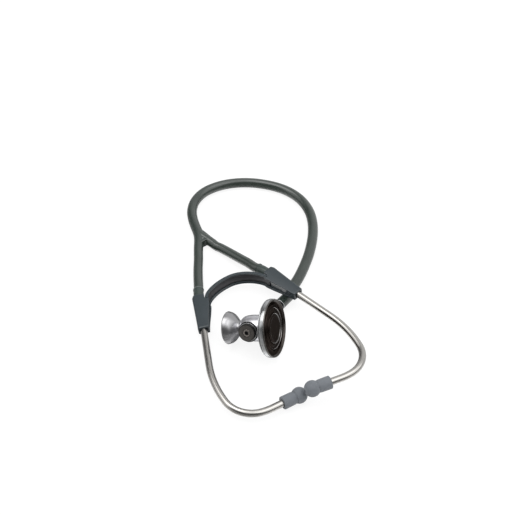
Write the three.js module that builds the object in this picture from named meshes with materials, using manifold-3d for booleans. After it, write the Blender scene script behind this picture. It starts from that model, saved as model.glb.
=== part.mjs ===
// Acoustic stethoscope with a turning two-sided chestpiece, lying on a table.
// Millimetres, +Z up. The headset's middle line runs along Y, the ear tips lie towards -Y
// and the Y-shaped tubing towards +Y. The layout is measured from a point on the table
// under the middle of the yoke, and the finished group is moved so that its origin is
// under the centre of the headset and chestpiece.

import * as THREE from 'three';
import { mergeVertices } from 'three/addons/utils/BufferGeometryUtils.js';
import Module from 'manifold-3d';

const wasm = await Module();
wasm.setup();

const degrees = THREE.MathUtils.degToRad;
const vector = (x, y, z) => new THREE.Vector3(x, y, z);
const point = (x, y) => new THREE.Vector2(x, y);

// Clearance between neighbouring pieces, and the width of a broken edge
const gap = 0.3;
const edge = 0.35;

// Ear tube: one bent metal tube, the same on both sides
const earTubeRadius = 2.7;
const earTubeBore = 2.0;
const earTubeStart = 11.5;
const earStraight = 77.3;
const earGentleRadius = 87.3;
const earGentleAngle = degrees(23.9);
const earTightRadius = 22.2;
const earTightAngle = degrees(76.5);
const earEndRadius = 42.3;
const earEndAngle = degrees(11.5);
const earEndStraight = 23;

// Ear tip: soft ball with a collar that is pushed over the tube
const tipBallRadius = 6.1;
const tipCollarRadius = 4.95;
const tipCollarLength = 14.4;
const tipSoundHole = 1.3;
const tipTubeEnd = 2.5;

// Sleeve: the rigid handle of the yoke that carries an ear tube
const sleeveStart = 8;
const sleeveEnd = 42.6;
const sleeveSeat = 13;
const sleeveCorner = 4.4;
const sleeveOuterTop = 5.4;
const sleeveOuterEnd = 4.4;
const sleeveInnerTop = 8.3;
const sleeveInnerEnd = 4.5;
const sleeveShoulder = 3;
const sleeveWall = 0.7;
const yokeHalfHeight = 5.8;
const sleeveHalfDepthEnd = 3.7;
const sleeveRounding = 1.1;

// Cuff: the thick end of a branch tube, plugged into its sleeve. Its collar leans inwards and
// hangs down a little, towards the fork.
const cuffRadius = 4.2;
const cuffLength = 10.5;
const cuffLean = 0.1;
const cuffSag = { left: 0.04, right: 0.19 };
const cuffPlugRadius = 3.6;
const cuffPlugLength = 9;
const cuffBore = 2.3;

// Yoke arch: an inward-facing plastic channel with a steel leaf spring in it
const archThickness = 2.7;
const archWeb = 1.0;
const archFlange = 1.5;
const archApex = 0;
const archRiseLength = 5.5;
const archCrownLength = 13;
const springThickness = 0.6;
const springHalfHeight = 3.6;
const springTuck = 5;

// Tubing
const tubeLift = 0.1;
const mainTubeRadius = 4.5;
const mainTubeBore = 2.7;
const legRadius = 4.0;
const legBore = 2.4;
const tubeRun = 4.2;
const forkRun = 7;
const forkPull = 10.5;
const forkWebRadius = 3.4;
const forkWebShare = 0.42;

// Chestpiece, measured along its sound axis from the turning axis of the stem
const bellRadius = 12.7;
const bellReach = 21.4;
const bellMouth = 11.7;
const bellLip = 0.5;
const bellNeck = 5.0;
const bellOutside = [
  [0.13, 0.99], [0.3, 0.94], [0.45, 0.84], [0.58, 0.72], [0.69, 0.6], [0.78, 0.5], [0.84, 0.42],
];
const bellInside = [[0.8, 0.134], [0.7, 0.24], [0.57, 0.44], [0.42, 0.64], [0.25, 0.8], [0.1, 0.89]];
const rimRadius = 22.3;
const rimReach = 18.1;
const rimWidth = 2.9;
const rimLip = 1.6;
const rimSlope = 1.2;
const rimFace = 2.0;
const rimWall = 1.1;
const flangeThickness = 1.0;
const housingHub = 9.5;
const housingPlate = 0.9;
const housingWall = 1.4;
const diaphragmThickness = 0.6;
const diaphragmDome = 1.6;
const domeFlat = 8.0;
const waveHeight = 0.5;
const wavePitch = 3.2;
const waveCount = 3;
const blockRadius = 10.2;
const blockBellEnd = 9.1;
const blockHousingEnd = 10.2;
const blockFlat = 9.4;
const blockBoss = 7.4;
const blockOutline = [[-1, 0.54], [-0.92, 0.72], [-0.69, 0.88], [-0.36, 0.97], [0, 1]];
const spigotRadius = 3.4;
const spigotLength = 2.5;
const soundBore = 1.7;

// Stem and the parts that hold the head on it
const spindleRadius = 4.2;
const stemCollarRadius = 6.6;
const stemCollarWidth = 1.8;
const stemFillet = 1.1;
const stemRadius = 3.3;
const stemStraight = 18.4;
const stemBendRadius = 16;
const stemBendAngle = degrees(23.0);
const stemBendRoll = degrees(47);
const stemTail = 22.6;
const stemOverlap = 3;
const barbRadius = 2.2;
const barbLength = 8;
const ringRadius = 4.8;
const ringWidth = 1.4;
const oringOffset = 3.4;
const oringSection = 0.45;
const oringGroove = 1.5;
const washerRadius = 7.1;
const washerThickness = 1.0;
const capRadius = 6.75;
const capThickness = 1.9;
const screwHeadRadius = 2.9;
const screwHeadHeight = 1.0;
const screwRadius = 1.2;
const screwLength = 6.2;
const hexSocket = 1.25;
const hexDepth = 0.7;
const detentOffset = 6.4;
const detentBallRadius = 1.1;
const detentTrack = 0.5;
const detentWire = 0.2;
const detentTurns = 3;
const detentPlugLength = 0.8;

// Where things lie on the table
const earTipHeight = tipBallRadius;
const yokeTilt = degrees(7);
const leftFoot = vector(-27.1, 2.6, 6.2);
const leftHeading = degrees(-108.4);
const leftPitch = degrees(0.9);
const rightFoot = vector(27.9, -3.8, 13.4);
const rightHeading = degrees(-73.4);
const rightPitch = degrees(2.2);
const rightRoll = degrees(1.5);
const headHeading = degrees(-44.2);
const headTilt = degrees(17.1);
const headSpin = degrees(-28.5);
const bellRimPlace = point(-24.5, -48.0);

// Smoothness
const rimSides = 48;
const roundSides = 36;
const smallSides = 24;
const boreSides = 16;
const tinySides = 12;
const tubeSides = 10;
const tubeBoreSides = 8;
const smoothBend = degrees(9);
const archSteps = 40;
const springSteps = 44;
const mainTubeSteps = 46;
const legSteps = 14;
const forkSteps = 8;
const cuffSteps = 4;
const stemSteps = 4;
const tipSteps = 12;
const detentTurnSteps = 8;

// Materials
function material(color, roughness, metalness) {
  return new THREE.MeshStandardMaterial({ color, roughness, metalness });
}

const polishedSteel = material(0xb9b4ac, 0.22, 1);
const satinSteel = material(0xa9abae, 0.4, 1);
const chrome = material(0xc9ccd0, 0.12, 1);
const darkSteel = material(0x5a5853, 0.38, 1);
const yokePlastic = material(0x3b444b, 0.45, 0);
const tubingPvc = material(0x33403a, 0.35, 0);
const cuffPvc = material(0x2b3a33, 0.4, 0);
const tipRubber = material(0x6f777f, 0.7, 0);
const springSteel = material(0x4b4a4c, 0.35, 1);
const diaphragmResin = material(0x241c1a, 0.18, 0);
const sealRubber = material(0x1a1a1a, 0.8, 0);

// Solids: geometry to manifold and back, with only positions kept
function bare(geometry) {
  const copy = geometry.clone();
  copy.deleteAttribute('normal');
  copy.deleteAttribute('uv');
  return mergeVertices(copy, 1e-4);
}

function solid(geometry) {
  const merged = bare(geometry);
  return new wasm.Manifold(new wasm.Mesh({
    numProp: 3,
    vertProperties: new Float32Array(merged.attributes.position.array),
    triVerts: new Uint32Array(merged.index.array),
  }));
}

function geometryOf(manifold) {
  const mesh = manifold.getMesh();
  const geometry = new THREE.BufferGeometry();
  geometry.setAttribute('position', new THREE.BufferAttribute(new Float32Array(mesh.vertProperties), 3));
  geometry.setIndex(new THREE.BufferAttribute(new Uint32Array(mesh.triVerts), 1));
  return geometry;
}

function cut(geometry, ...tools) {
  return geometryOf(tools.reduce((body, tool) => body.subtract(solid(tool)), solid(geometry)));
}

function join(geometry, ...others) {
  return geometryOf(others.reduce((body, other) => body.add(solid(other)), solid(geometry)));
}

// The mirror image of a piece across its own XZ plane, with its faces still pointing out
function mirrored(geometry) {
  const copy = bare(geometry);
  copy.scale(1, -1, 1);
  const index = copy.index.array;
  for (let i = 0; i < index.length; i += 3) {
    [index[i + 1], index[i + 2]] = [index[i + 2], index[i + 1]];
  }
  return copy;
}

// A body turned about the X axis from [x, radius] pairs
function turned(profile, facets = roundSides) {
  const points = profile.map(([x, radius]) => point(radius, x));
  return new THREE.LatheGeometry(points, facets).rotateZ(-Math.PI / 2);
}

// A cylinder along X from one x to another
function rod(from, to, radius, facets = boreSides) {
  return turned([[from, 0], [from, radius], [to, radius], [to, 0]], facets);
}

const alongY = (geometry) => geometry.rotateZ(Math.PI / 2);

function circle(radius, facets) {
  return Array.from({ length: facets }, (_, i) => {
    const angle = (2 * Math.PI * i) / facets;
    return point(radius * Math.cos(angle), radius * Math.sin(angle));
  });
}

// A tube of even section along a curve, with a bore unless its radius is 0
function tube(path, radius, bore, steps) {
  const section = new THREE.Shape(circle(radius, tubeSides));
  if (bore > 0) {
    section.holes.push(new THREE.Path(circle(bore, tubeBoreSides)));
  }
  return new THREE.ExtrudeGeometry(section, { steps, bevelEnabled: false, extrudePath: path });
}

// A body swept through frames, each with an origin, two directions and a scale for the section
function swept(section, frames) {
  const count = section.length;
  const positions = [];
  for (const { origin, across, up, scale = 1 } of frames) {
    for (const { x, y } of section) {
      const place = origin.clone().addScaledVector(across, x * scale).addScaledVector(up, y * scale);
      positions.push(place.x, place.y, place.z);
    }
  }
  const index = [];
  for (let ring = 0; ring < frames.length - 1; ring += 1) {
    for (let i = 0; i < count; i += 1) {
      const a = ring * count + i;
      const b = ring * count + ((i + 1) % count);
      index.push(a, b, b + count, a, b + count, a + count);
    }
  }
  const last = (frames.length - 1) * count;
  for (const [a, b, c] of THREE.ShapeUtils.triangulateShape(section, [])) {
    index.push(c, b, a, last + a, last + b, last + c);
  }
  const geometry = new THREE.BufferGeometry();
  geometry.setAttribute('position', new THREE.Float32BufferAttribute(positions, 3));
  geometry.setIndex(index);
  return geometry;
}

// Frames along a curve: across lies level to the left of travel, up is square to the curve
function framesAlong(curve, steps, upAt, scaleAt = () => 1) {
  return Array.from({ length: steps + 1 }, (_, i) => {
    const u = i / steps;
    const forward = curve.getTangentAt(u);
    const across = new THREE.Vector3().crossVectors(upAt(u), forward).normalize();
    const up = new THREE.Vector3().crossVectors(forward, across).normalize();
    return { origin: curve.getPointAt(u), across, up, scale: scaleAt(u) };
  });
}

// Frames through points, each square to the line there
function framesThrough(points, upward, scaleAt = () => 1) {
  return points.map((origin, i) => {
    const back = points[Math.max(i - 1, 0)];
    const front = points[Math.min(i + 1, points.length - 1)];
    const forward = front.clone().sub(back).normalize();
    const across = new THREE.Vector3().crossVectors(upward, forward).normalize();
    const up = new THREE.Vector3().crossVectors(forward, across).normalize();
    return { origin, across, up, scale: scaleAt(i) };
  });
}

const table = new THREE.Group();

function piece(name, geometry, look, parent = table) {
  const mesh = new THREE.Mesh(geometry, look);
  mesh.name = name;
  parent.add(mesh);
  return mesh;
}

// Headset sides. A sleeve's frame has X down the ear tube from the yoke, Z square to the
// tilted yoke and Y inwards on the left side. The ear tube is turned about X in its sleeve.
function sideFrame(foot, heading, pitch, earRoll) {
  const frame = new THREE.Group();
  frame.position.copy(foot);
  frame.rotation.set(yokeTilt, -pitch, heading, 'ZYX');
  const ear = new THREE.Group();
  ear.rotation.x = earRoll - yokeTilt;
  frame.add(ear);
  table.add(frame);
  frame.updateMatrixWorld(true);
  return { frame, ear };
}

// The bent centre line of an ear tube in its side's frame: straight, three bends, straight
function earTubePath(start) {
  const path = new THREE.CurvePath();
  let place = vector(start, 0, 0);
  let heading = 0;
  const ahead = () => vector(Math.cos(heading), Math.sin(heading), 0);
  const straight = (length) => {
    const next = place.clone().addScaledVector(ahead(), length);
    path.add(new THREE.LineCurve3(place, next));
    place = next;
  };
  const bend = (radius, angle) => {
    const pieces = Math.ceil(angle / smoothBend);
    for (let i = 0; i < pieces; i += 1) {
      const half = angle / pieces / 2;
      heading += half;
      straight(2 * radius * Math.sin(half));
      heading += half;
    }
  };
  straight(earStraight - start);
  bend(earGentleRadius, earGentleAngle);
  bend(earTightRadius, earTightAngle);
  bend(earEndRadius, earEndAngle);
  straight(earEndStraight);
  return { path, end: place, heading };
}

const earTube = earTubePath(earTubeStart);
const earReach = earTube.end;
const leftRoll = Math.asin((earTipHeight - leftFoot.z - earReach.x * Math.sin(leftPitch)) / earReach.y);
const sides = {
  left: { ...sideFrame(leftFoot, leftHeading, leftPitch, leftRoll), hand: 1 },
  right: { ...sideFrame(rightFoot, rightHeading, rightPitch, rightRoll), hand: -1 },
};

// The tube itself follows the polyline of its bends and ends inside the tip
function earTubeGeometry() {
  const line = earTube.path.curves;
  const points = [line[0].v1, ...line.map((segment) => segment.v2)];
  const endCut = points.at(-1).clone().sub(points.at(-2)).setLength(tipTubeEnd);
  points[points.length - 1] = points.at(-1).clone().sub(endCut);
  const halfway = points[0].clone().lerp(points[1], 0.5);
  const frames = framesThrough([points[0], halfway, ...points.slice(1)], vector(0, 0, 1));
  const bore = swept(circle(earTubeBore, tubeBoreSides), stretched(frames));
  return cut(swept(circle(earTubeRadius, tubeSides), frames), bore);
}

// The same frames with both ends moved out, for a bore that goes right through
function stretched(frames, amount = 1) {
  const move = (frame, next) => {
    const out = frame.origin.clone().sub(next.origin).setLength(amount);
    return { ...frame, origin: frame.origin.clone().add(out) };
  };
  const last = frames.length - 1;
  return [move(frames[0], frames[1]), ...frames.slice(1, last), move(frames[last], frames[last - 1])];
}

// Soft ear tip around the tube's end, built along X with the ball's centre at the origin
function earTipGeometry() {
  const profile = [[-tipCollarLength, 0], [-tipCollarLength, tipCollarRadius - edge]];
  profile.push([-tipCollarLength + edge, tipCollarRadius]);
  const neckRadius = tipCollarRadius - edge;
  const neckAngle = Math.PI - Math.asin(neckRadius / tipBallRadius);
  for (let i = 0; i <= tipSteps; i += 1) {
    const angle = neckAngle * (1 - i / tipSteps);
    profile.push([tipBallRadius * Math.cos(angle), tipBallRadius * Math.sin(angle)]);
  }
  profile[profile.length - 1][1] = 0;
  const body = turned(profile, smallSides);
  const tubeSocket = rod(-tipCollarLength - 1, -tipTubeEnd + gap, earTubeRadius + gap);
  const soundHole = rod(-tipTubeEnd, tipBallRadius + 1, tipSoundHole, tinySides);
  return cut(body, tubeSocket, soundHole);
}

function placedAtEarEnd(geometry) {
  return geometry.rotateZ(earTube.heading).translate(earReach.x, earReach.y, 0);
}

// Sleeve: a rounded outline in the side's XY plane, thinner towards the ear tube
const seatOuter = cuffPlugRadius + gap + sleeveWall;
const archMiddle = seatOuter + gap + archThickness / 2;

function sleeveGeometry() {
  const outline = [
    point(sleeveStart, -sleeveCorner),
    point(sleeveStart + sleeveShoulder, -sleeveOuterTop),
    point(sleeveEnd, -sleeveOuterEnd),
    point(sleeveEnd, sleeveInnerEnd),
    point(sleeveSeat, sleeveInnerTop),
    point(sleeveSeat, seatOuter),
    point(sleeveStart, seatOuter),
  ];
  const depth = 2 * (yokeHalfHeight - sleeveRounding);
  const body = new THREE.ExtrudeGeometry(new THREE.Shape(outline), {
    depth,
    bevelSize: sleeveRounding,
    bevelThickness: sleeveRounding,
    bevelOffset: -sleeveRounding,
    bevelSegments: 3,
  });
  body.translate(0, 0, -depth / 2);
  const place = body.attributes.position;
  for (let i = 0; i < place.count; i += 1) {
    const along = (place.getX(i) - sleeveStart) / (sleeveEnd - sleeveStart);
    const thinning = 1 + along * (sleeveHalfDepthEnd / yokeHalfHeight - 1);
    place.setZ(i, place.getZ(i) * thinning);
  }
  const socketEnd = sleeveStart + cuffPlugLength + gap;
  const cuffSocket = rod(sleeveStart - 1, socketEnd, cuffPlugRadius + gap, smallSides);
  const tubeBore = rod(sleeveStart, sleeveEnd + 1, earTubeRadius + gap, smallSides);
  const slotDepth = springTuck + gap;
  const slotHeight = 2 * (springHalfHeight + gap);
  const slot = new THREE.BoxGeometry(2 * slotDepth, springThickness + 2 * gap, slotHeight);
  slot.translate(sleeveSeat, springLine(), 0);
  return cut(body, cuffSocket, tubeBore, slot);
}

// Distance of the leaf spring's middle from the ear tube's axis at the sleeve
function springLine() {
  return seatOuter + gap + archWeb + gap + springThickness / 2;
}

// The bent middle line of a cuff's collar, from its seat on the sleeve to the branch tube and
// on by an amount beyond
function cuffLine(sag, beyond) {
  const points = Array.from({ length: cuffSteps + 1 }, (_, i) => {
    const along = (cuffLength * i) / cuffSteps;
    const aside = along * along / (2 * cuffLength);
    return vector(sleeveStart - gap - along, cuffLean * aside, -sag * aside);
  });
  const ahead = vector(-1, cuffLean, -sag).normalize();
  return [...points, points.at(-1).clone().addScaledVector(ahead, beyond)];
}

// Cuff of a branch tube: a bent collar and a thinner plug around the ear tube's top
function cuffGeometry(sag) {
  const seat = sleeveStart - gap;
  const tip = sleeveStart + cuffPlugLength;
  const upward = vector(0, 0, 1);
  const line = cuffLine(sag, -edge);
  const top = cuffLine(sag, 0).at(-1);
  const bevel = (i) => (i > cuffSteps ? (cuffRadius - edge) / cuffRadius : 1);
  const collarLine = [...line.slice(0, cuffSteps), line.at(-1), top];
  const collar = swept(circle(cuffRadius, smallSides), framesThrough(collarLine, upward, bevel));
  const plug = rod(seat - edge, tip, cuffPlugRadius, smallSides);
  const bentBore = swept(circle(cuffBore, tinySides), framesThrough(cuffLine(sag, 1), upward));
  const bore = rod(seat - edge, tip + 1, cuffBore, tinySides);
  const tubeSocket = rod(earTubeStart - gap, tip + 1, earTubeRadius + gap);
  return cut(join(collar, plug), bentBore, bore, tubeSocket);
}

for (const [name, { frame, ear, hand }] of Object.entries(sides)) {
  const handed = (geometry) => (hand > 0 ? geometry : mirrored(geometry));
  piece(`${name}_sleeve`, handed(sleeveGeometry()), yokePlastic, frame);
  piece(`${name}_cuff`, handed(cuffGeometry(cuffSag[name])), cuffPvc, frame);
  piece(`${name}_ear_tube`, handed(earTubeGeometry()), polishedSteel, ear);
  piece(`${name}_ear_tip`, handed(placedAtEarEnd(earTipGeometry())), tipRubber, ear);
}

// A place and a direction of a side's frame, in the layout; y is measured inwards
function onSide({ frame, hand }, { x, y, z }) {
  return vector(x, y * hand, z).applyMatrix4(frame.matrixWorld);
}

function sideDirection({ frame }, direction) {
  return direction.applyQuaternion(frame.quaternion);
}

// Yoke arch between the sleeves: two Bezier halves that meet level at the crown
function archCurve(inward, overlap) {
  const seat = (side, along) => onSide(side, vector(sleeveSeat - gap + along, inward, 0));
  const start = seat(sides.left, 0);
  const finish = seat(sides.right, 0);
  const crown = start.clone().lerp(finish, 0.5);
  crown.y = archApex - inward + archMiddle;
  const slope = finish.clone().sub(start).setY(0).normalize();
  const rise = (side) => sideDirection(side, vector(-archRiseLength, 0, 0));
  const curve = new THREE.CurvePath();
  if (overlap > 0) {
    curve.add(new THREE.LineCurve3(seat(sides.left, overlap), start));
  }
  curve.add(new THREE.CubicBezierCurve3(
    start, start.clone().add(rise(sides.left)),
    crown.clone().addScaledVector(slope, -archCrownLength), crown,
  ));
  curve.add(new THREE.CubicBezierCurve3(
    crown, crown.clone().addScaledVector(slope, archCrownLength),
    finish.clone().add(rise(sides.right)), finish,
  ));
  if (overlap > 0) {
    curve.add(new THREE.LineCurve3(finish, seat(sides.right, overlap)));
  }
  return curve;
}

function archFrames(inward, overlap, steps) {
  const leftUp = sideDirection(sides.left, vector(0, 0, 1));
  const rightUp = sideDirection(sides.right, vector(0, 0, 1));
  return framesAlong(archCurve(inward, overlap), steps, (u) => leftUp.clone().lerp(rightUp, u));
}

// Sections are drawn with x towards the arch's outer side and y up
function archSection() {
  const outer = archThickness / 2;
  const inner = -outer;
  const webInner = outer - archWeb;
  const inside = yokeHalfHeight - archFlange;
  return [
    point(outer, -yokeHalfHeight), point(outer, yokeHalfHeight), point(inner, yokeHalfHeight),
    point(inner, inside), point(webInner, inside),
    point(webInner, -inside), point(inner, -inside), point(inner, -yokeHalfHeight),
  ];
}

function rectangle(width, height) {
  const [x, y] = [width / 2, height / 2];
  return [point(-x, -y), point(x, -y), point(x, y), point(-x, y)];
}

piece('yoke_arch', swept(archSection(), archFrames(archMiddle, 0, archSteps)), yokePlastic);
const springSection = rectangle(springThickness, 2 * springHalfHeight);
piece('leaf_spring', swept(springSection, archFrames(springLine(), springTuck, springSteps)), springSteel);

// Head: X runs along the sound axis from bell to diaphragm, Y down the stem, Z up
const head = new THREE.Group();
const bellLift = bellRadius * Math.cos(headTilt) - bellLip * Math.sin(headTilt);
const soundAxis = vector(1, 0, 0).applyEuler(new THREE.Euler(0, -headTilt, headHeading, 'ZYX'));
head.position.set(bellRimPlace.x, bellRimPlace.y, bellLift).addScaledVector(soundAxis, bellReach);
head.rotation.set(headSpin, -headTilt, headHeading, 'ZYX');
head.updateMatrixWorld(true);
table.add(head);

// Bell: a turned cup whose wall runs into a neck and a spigot for the block
function bellGeometry() {
  const rim = -bellReach;
  const seat = -blockBellEnd - gap;
  const depth = seat - rim;
  const tip = seat + gap + spigotLength;
  const placed = ([along, radius]) => [rim + along * depth, radius * bellRadius];
  return turned([
    [rim, bellMouth + edge], [rim + bellLip, bellRadius], ...bellOutside.map(placed),
    [seat - 2 * bellLip, bellNeck], [seat - bellLip, bellNeck], [seat, bellNeck + edge],
    [seat, spigotRadius], [tip, spigotRadius], [tip, soundBore], ...bellInside.map(placed),
    [rim, bellMouth], [rim, bellMouth + edge],
  ]);
}

// Block: a barrel with flats where the stem and the cap sit, and bores for everything in it
function blockGeometry() {
  const outline = blockOutline.map(([along, radius]) => [along * blockBellEnd, radius * blockRadius]);
  const barrel = turned([
    [-blockBellEnd, 0], ...outline, [blockHousingEnd, blockRadius], [blockHousingEnd, 0],
  ]);
  const boss = alongY(rod(-blockFlat, blockFlat, blockBoss, roundSides));
  const width = 4 * blockRadius;
  const flat = (hand) => {
    const box = new THREE.BoxGeometry(width, width, width);
    return box.translate(0, hand * (blockFlat + width / 2), 0);
  };
  const crossBore = alongY(rod(-blockFlat - 1, blockFlat + 1, spindleRadius + gap, smallSides));
  const bellSocket = rod(-blockBellEnd - 1, -blockBellEnd + spigotLength + gap, spigotRadius + gap);
  const housingSocket = rod(blockHousingEnd - spigotLength - gap, blockHousingEnd + 1, spigotRadius + gap);
  const soundWay = rod(-blockBellEnd - 1, blockHousingEnd + 1, soundBore, tinySides);
  const detentHole = detentAt(rod(0, blockHousingEnd + 1, detentBallRadius + gap, tinySides));
  const bores = [crossBore, bellSocket, housingSocket, soundWay, detentHole];
  return cut(join(barrel, boss), flat(-1), flat(1), ...bores);
}

function detentAt(geometry) {
  return geometry.translate(0, detentOffset, 0);
}

// Diaphragm housing: hub, back plate, flange and the wall that the rim screws over
const rimBack = rimReach - rimWidth;
const flangeFront = rimBack - gap;
const flangeBack = flangeFront - flangeThickness;
const diaphragmFront = rimReach - rimLip - gap;
const diaphragmBack = diaphragmFront - diaphragmThickness;
const wallTop = diaphragmBack - gap;
const wallRadius = rimRadius - rimWall - gap;
const rimOpening = rimRadius - rimFace;
const flangeRadius = rimRadius - gap;

function housingGeometry() {
  const back = blockHousingEnd + gap;
  return turned([
    [back - spigotLength, soundBore], [back - spigotLength, spigotRadius], [back, spigotRadius],
    [back, housingHub], [back + housingPlate, housingHub],
    [flangeBack - housingWall / 2, wallRadius - housingWall],
    [flangeBack, flangeRadius], [flangeFront, flangeRadius], [flangeFront, wallRadius - gap],
    [wallTop, wallRadius - gap], [wallTop, wallRadius - gap - housingWall],
    [flangeFront, wallRadius - gap - housingWall], [back + 2 * housingWall, 2 * soundBore],
    [back + 1.5 * housingWall, soundBore], [back - spigotLength, soundBore],
  ]);
}

// Diaphragm: a thin disc that rises in round waves to a flat middle
function diaphragmGeometry() {
  const foot = domeFlat + waveCount * wavePitch;
  const lift = (radius) => diaphragmDome * (foot - radius) / (foot - domeFlat);
  const wave = [[diaphragmDome, 0], [diaphragmDome, domeFlat]];
  for (let i = 0; i < waveCount; i += 1) {
    const crest = domeFlat + (i + 0.5) * wavePitch;
    const valley = domeFlat + (i + 1) * wavePitch;
    wave.push([lift(crest) + waveHeight, crest], [lift(valley), valley]);
  }
  wave.push([0, wallRadius - gap]);
  const back = wave.map(([rise, radius]) => [diaphragmBack + rise, radius]);
  const front = wave.map(([rise, radius]) => [diaphragmFront + rise, radius]).reverse();
  return turned([...back, ...front]);
}

// Rim: the ring that clamps the diaphragm to the housing
function rimGeometry() {
  const inner = wallRadius;
  return turned([
    [rimBack, inner], [rimBack, rimRadius - edge], [rimBack + edge, rimRadius],
    [rimReach - edge, rimRadius], [rimReach, rimRadius - edge], [rimReach, rimRadius - 2 * edge],
    [rimReach - rimSlope, rimOpening], [rimReach - rimLip, rimOpening], [rimReach - rimLip, inner],
    [rimBack, inner],
  ], rimSides);
}

piece('bell', bellGeometry(), satinSteel, head);
piece('head_block', blockGeometry(), satinSteel, head);
piece('diaphragm_housing', housingGeometry(), chrome, head);
piece('diaphragm', diaphragmGeometry(), diaphragmResin, head);
piece('diaphragm_rim', rimGeometry(), chrome, head);

// Detent beside the spindle: ball, coil spring and plug in one hole behind the housing
const ballCentre = spindleRadius - detentTrack + gap + detentBallRadius;
const plugEnd = blockHousingEnd - gap / 2;
const plugStart = plugEnd - detentPlugLength;

function springGeometry() {
  const radius = detentBallRadius - detentWire;
  const start = ballCentre + detentBallRadius + gap + detentWire;
  const end = plugStart - gap - detentWire;
  const steps = detentTurns * detentTurnSteps;
  const coil = Array.from({ length: steps + 1 }, (_, i) => {
    const angle = (2 * Math.PI * i) / detentTurnSteps;
    return vector(start + ((end - start) * i) / steps, radius * Math.cos(angle), radius * Math.sin(angle));
  });
  const extrudePath = new THREE.CatmullRomCurve3(coil);
  const section = new THREE.Shape(circle(detentWire, 5));
  return new THREE.ExtrudeGeometry(section, { steps, bevelEnabled: false, extrudePath });
}

const ball = new THREE.SphereGeometry(detentBallRadius, tinySides, tubeBoreSides);
ball.translate(ballCentre, 0, 0);
piece('detent_ball', detentAt(ball), chrome, head);
piece('detent_spring', detentAt(springGeometry()), springSteel, head);
piece('detent_plug', detentAt(rod(plugStart, plugEnd, detentBallRadius, tinySides)), darkSteel, head);

// Stem: spindle, collar and bent tube in one piece, with a sound way from its side port
function stemCurve() {
  const bendPlane = vector(Math.cos(stemBendRoll), 0, Math.sin(stemBendRoll));
  const corner = vector(0, stemStraight, 0);
  const points = [corner];
  for (let i = 1; i <= stemSteps; i += 1) {
    const angle = (stemBendAngle * i) / stemSteps;
    points.push(corner.clone()
      .add(vector(0, stemBendRadius * Math.sin(angle), 0))
      .addScaledVector(bendPlane, stemBendRadius * (1 - Math.cos(angle))));
  }
  const forward = vector(0, Math.cos(stemBendAngle), 0).addScaledVector(bendPlane, Math.sin(stemBendAngle));
  points.push(points.at(-1).clone().addScaledVector(forward, stemTail));
  return { points, forward, side: bendPlane };
}

const stem = stemCurve();

function stemFrames(points) {
  return framesThrough(points, vector(-stem.side.z, 0, stem.side.x));
}

const spindleEnd = -(blockFlat + gap + washerThickness);
const collarBack = blockFlat + gap;
const stemEnd = stem.points.at(-1);
const barbEnd = stemEnd.clone().addScaledVector(stem.forward, ringWidth + 2 * gap + barbLength);

function stemGeometry() {
  const dip = (middle, halfTop, halfBottom, radius) => [
    [middle - halfTop, spindleRadius], [middle - halfBottom, radius],
    [middle + halfBottom, radius], [middle + halfTop, spindleRadius],
  ];
  const spindle = alongY(turned([
    [spindleEnd, 0], [spindleEnd, spindleRadius],
    ...dip(-oringOffset, oringGroove / 2, oringGroove / 2, grooveRadius),
    ...dip(oringOffset, oringGroove / 2, oringGroove / 2, grooveRadius),
    ...dip(detentOffset, detentBallRadius, detentBallRadius / 2, spindleRadius - detentTrack),
    [collarBack, spindleRadius], [collarBack, stemCollarRadius],
    [collarBack + stemCollarWidth, stemCollarRadius],
    [collarBack + stemCollarWidth + stemFillet, stemRadius + stemFillet],
    [collarBack + stemCollarWidth + 3 * stemFillet, stemRadius],
    [stemStraight - stemOverlap / 2, stemRadius], [stemStraight - stemOverlap / 2, 0],
  ], smallSides));
  const pipeFrom = vector(0, stemStraight - stemOverlap, 0);
  const pipe = swept(circle(stemRadius, boreSides), stemFrames([pipeFrom, ...stem.points]));
  const barbFrom = stemEnd.clone().addScaledVector(stem.forward, -stemOverlap);
  const barb = swept(circle(barbRadius, tinySides), stemFrames([barbFrom, barbEnd]));
  const soundStart = vector(0, -soundBore, 0);
  const beyond = barbEnd.clone().addScaledVector(stem.forward, 1);
  const wayFrames = stemFrames([soundStart, ...stem.points, beyond]);
  const way = swept(circle(soundBore - gap, tubeBoreSides), wayFrames);
  const port = rod(0, spindleRadius + 1, soundBore, tinySides);
  const holeEnd = spindleEnd + screwLength;
  const screwHole = alongY(rod(spindleEnd - 1, holeEnd, screwRadius + gap, tinySides));
  return cut(join(spindle, pipe, barb), way, port, screwHole);
}

const grooveRadius = spindleRadius - 2 * oringSection - gap;

function ringAlongY(from, to, inner, outer) {
  return alongY(turned([[from, inner], [from, outer], [to, outer], [to, inner], [from, inner]]));
}

function oringGeometry(offset) {
  const middle = spindleRadius - oringSection;
  const section = circle(oringSection, 6).map(({ x, y }) => [offset - x, middle + y]);
  return alongY(turned([...section, section[0]], smallSides));
}

function facing(geometry) {
  const turn = new THREE.Quaternion().setFromUnitVectors(vector(1, 0, 0), stem.forward);
  return geometry.applyQuaternion(turn).translate(stemEnd.x, stemEnd.y, stemEnd.z);
}

piece('stem', stemGeometry(), chrome, head);
piece('front_oring', oringGeometry(-oringOffset), sealRubber, head);
piece('rear_oring', oringGeometry(oringOffset), sealRubber, head);
const ringInner = barbRadius + gap;
const ringFar = gap + ringWidth;
piece('stem_ring', facing(turned([
  [gap, ringInner], [gap, ringRadius - edge], [gap + edge, ringRadius], [ringFar - edge, ringRadius],
  [ringFar, ringRadius - edge], [ringFar, ringInner], [gap, ringInner],
], smallSides)), chrome, head);
const washerFront = -(blockFlat + gap + washerThickness);
const washerHole = spindleRadius + gap;
const washerBack = washerFront + washerThickness;
piece('cap_washer', ringAlongY(washerFront, washerBack, washerHole, washerRadius), satinSteel, head);

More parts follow.
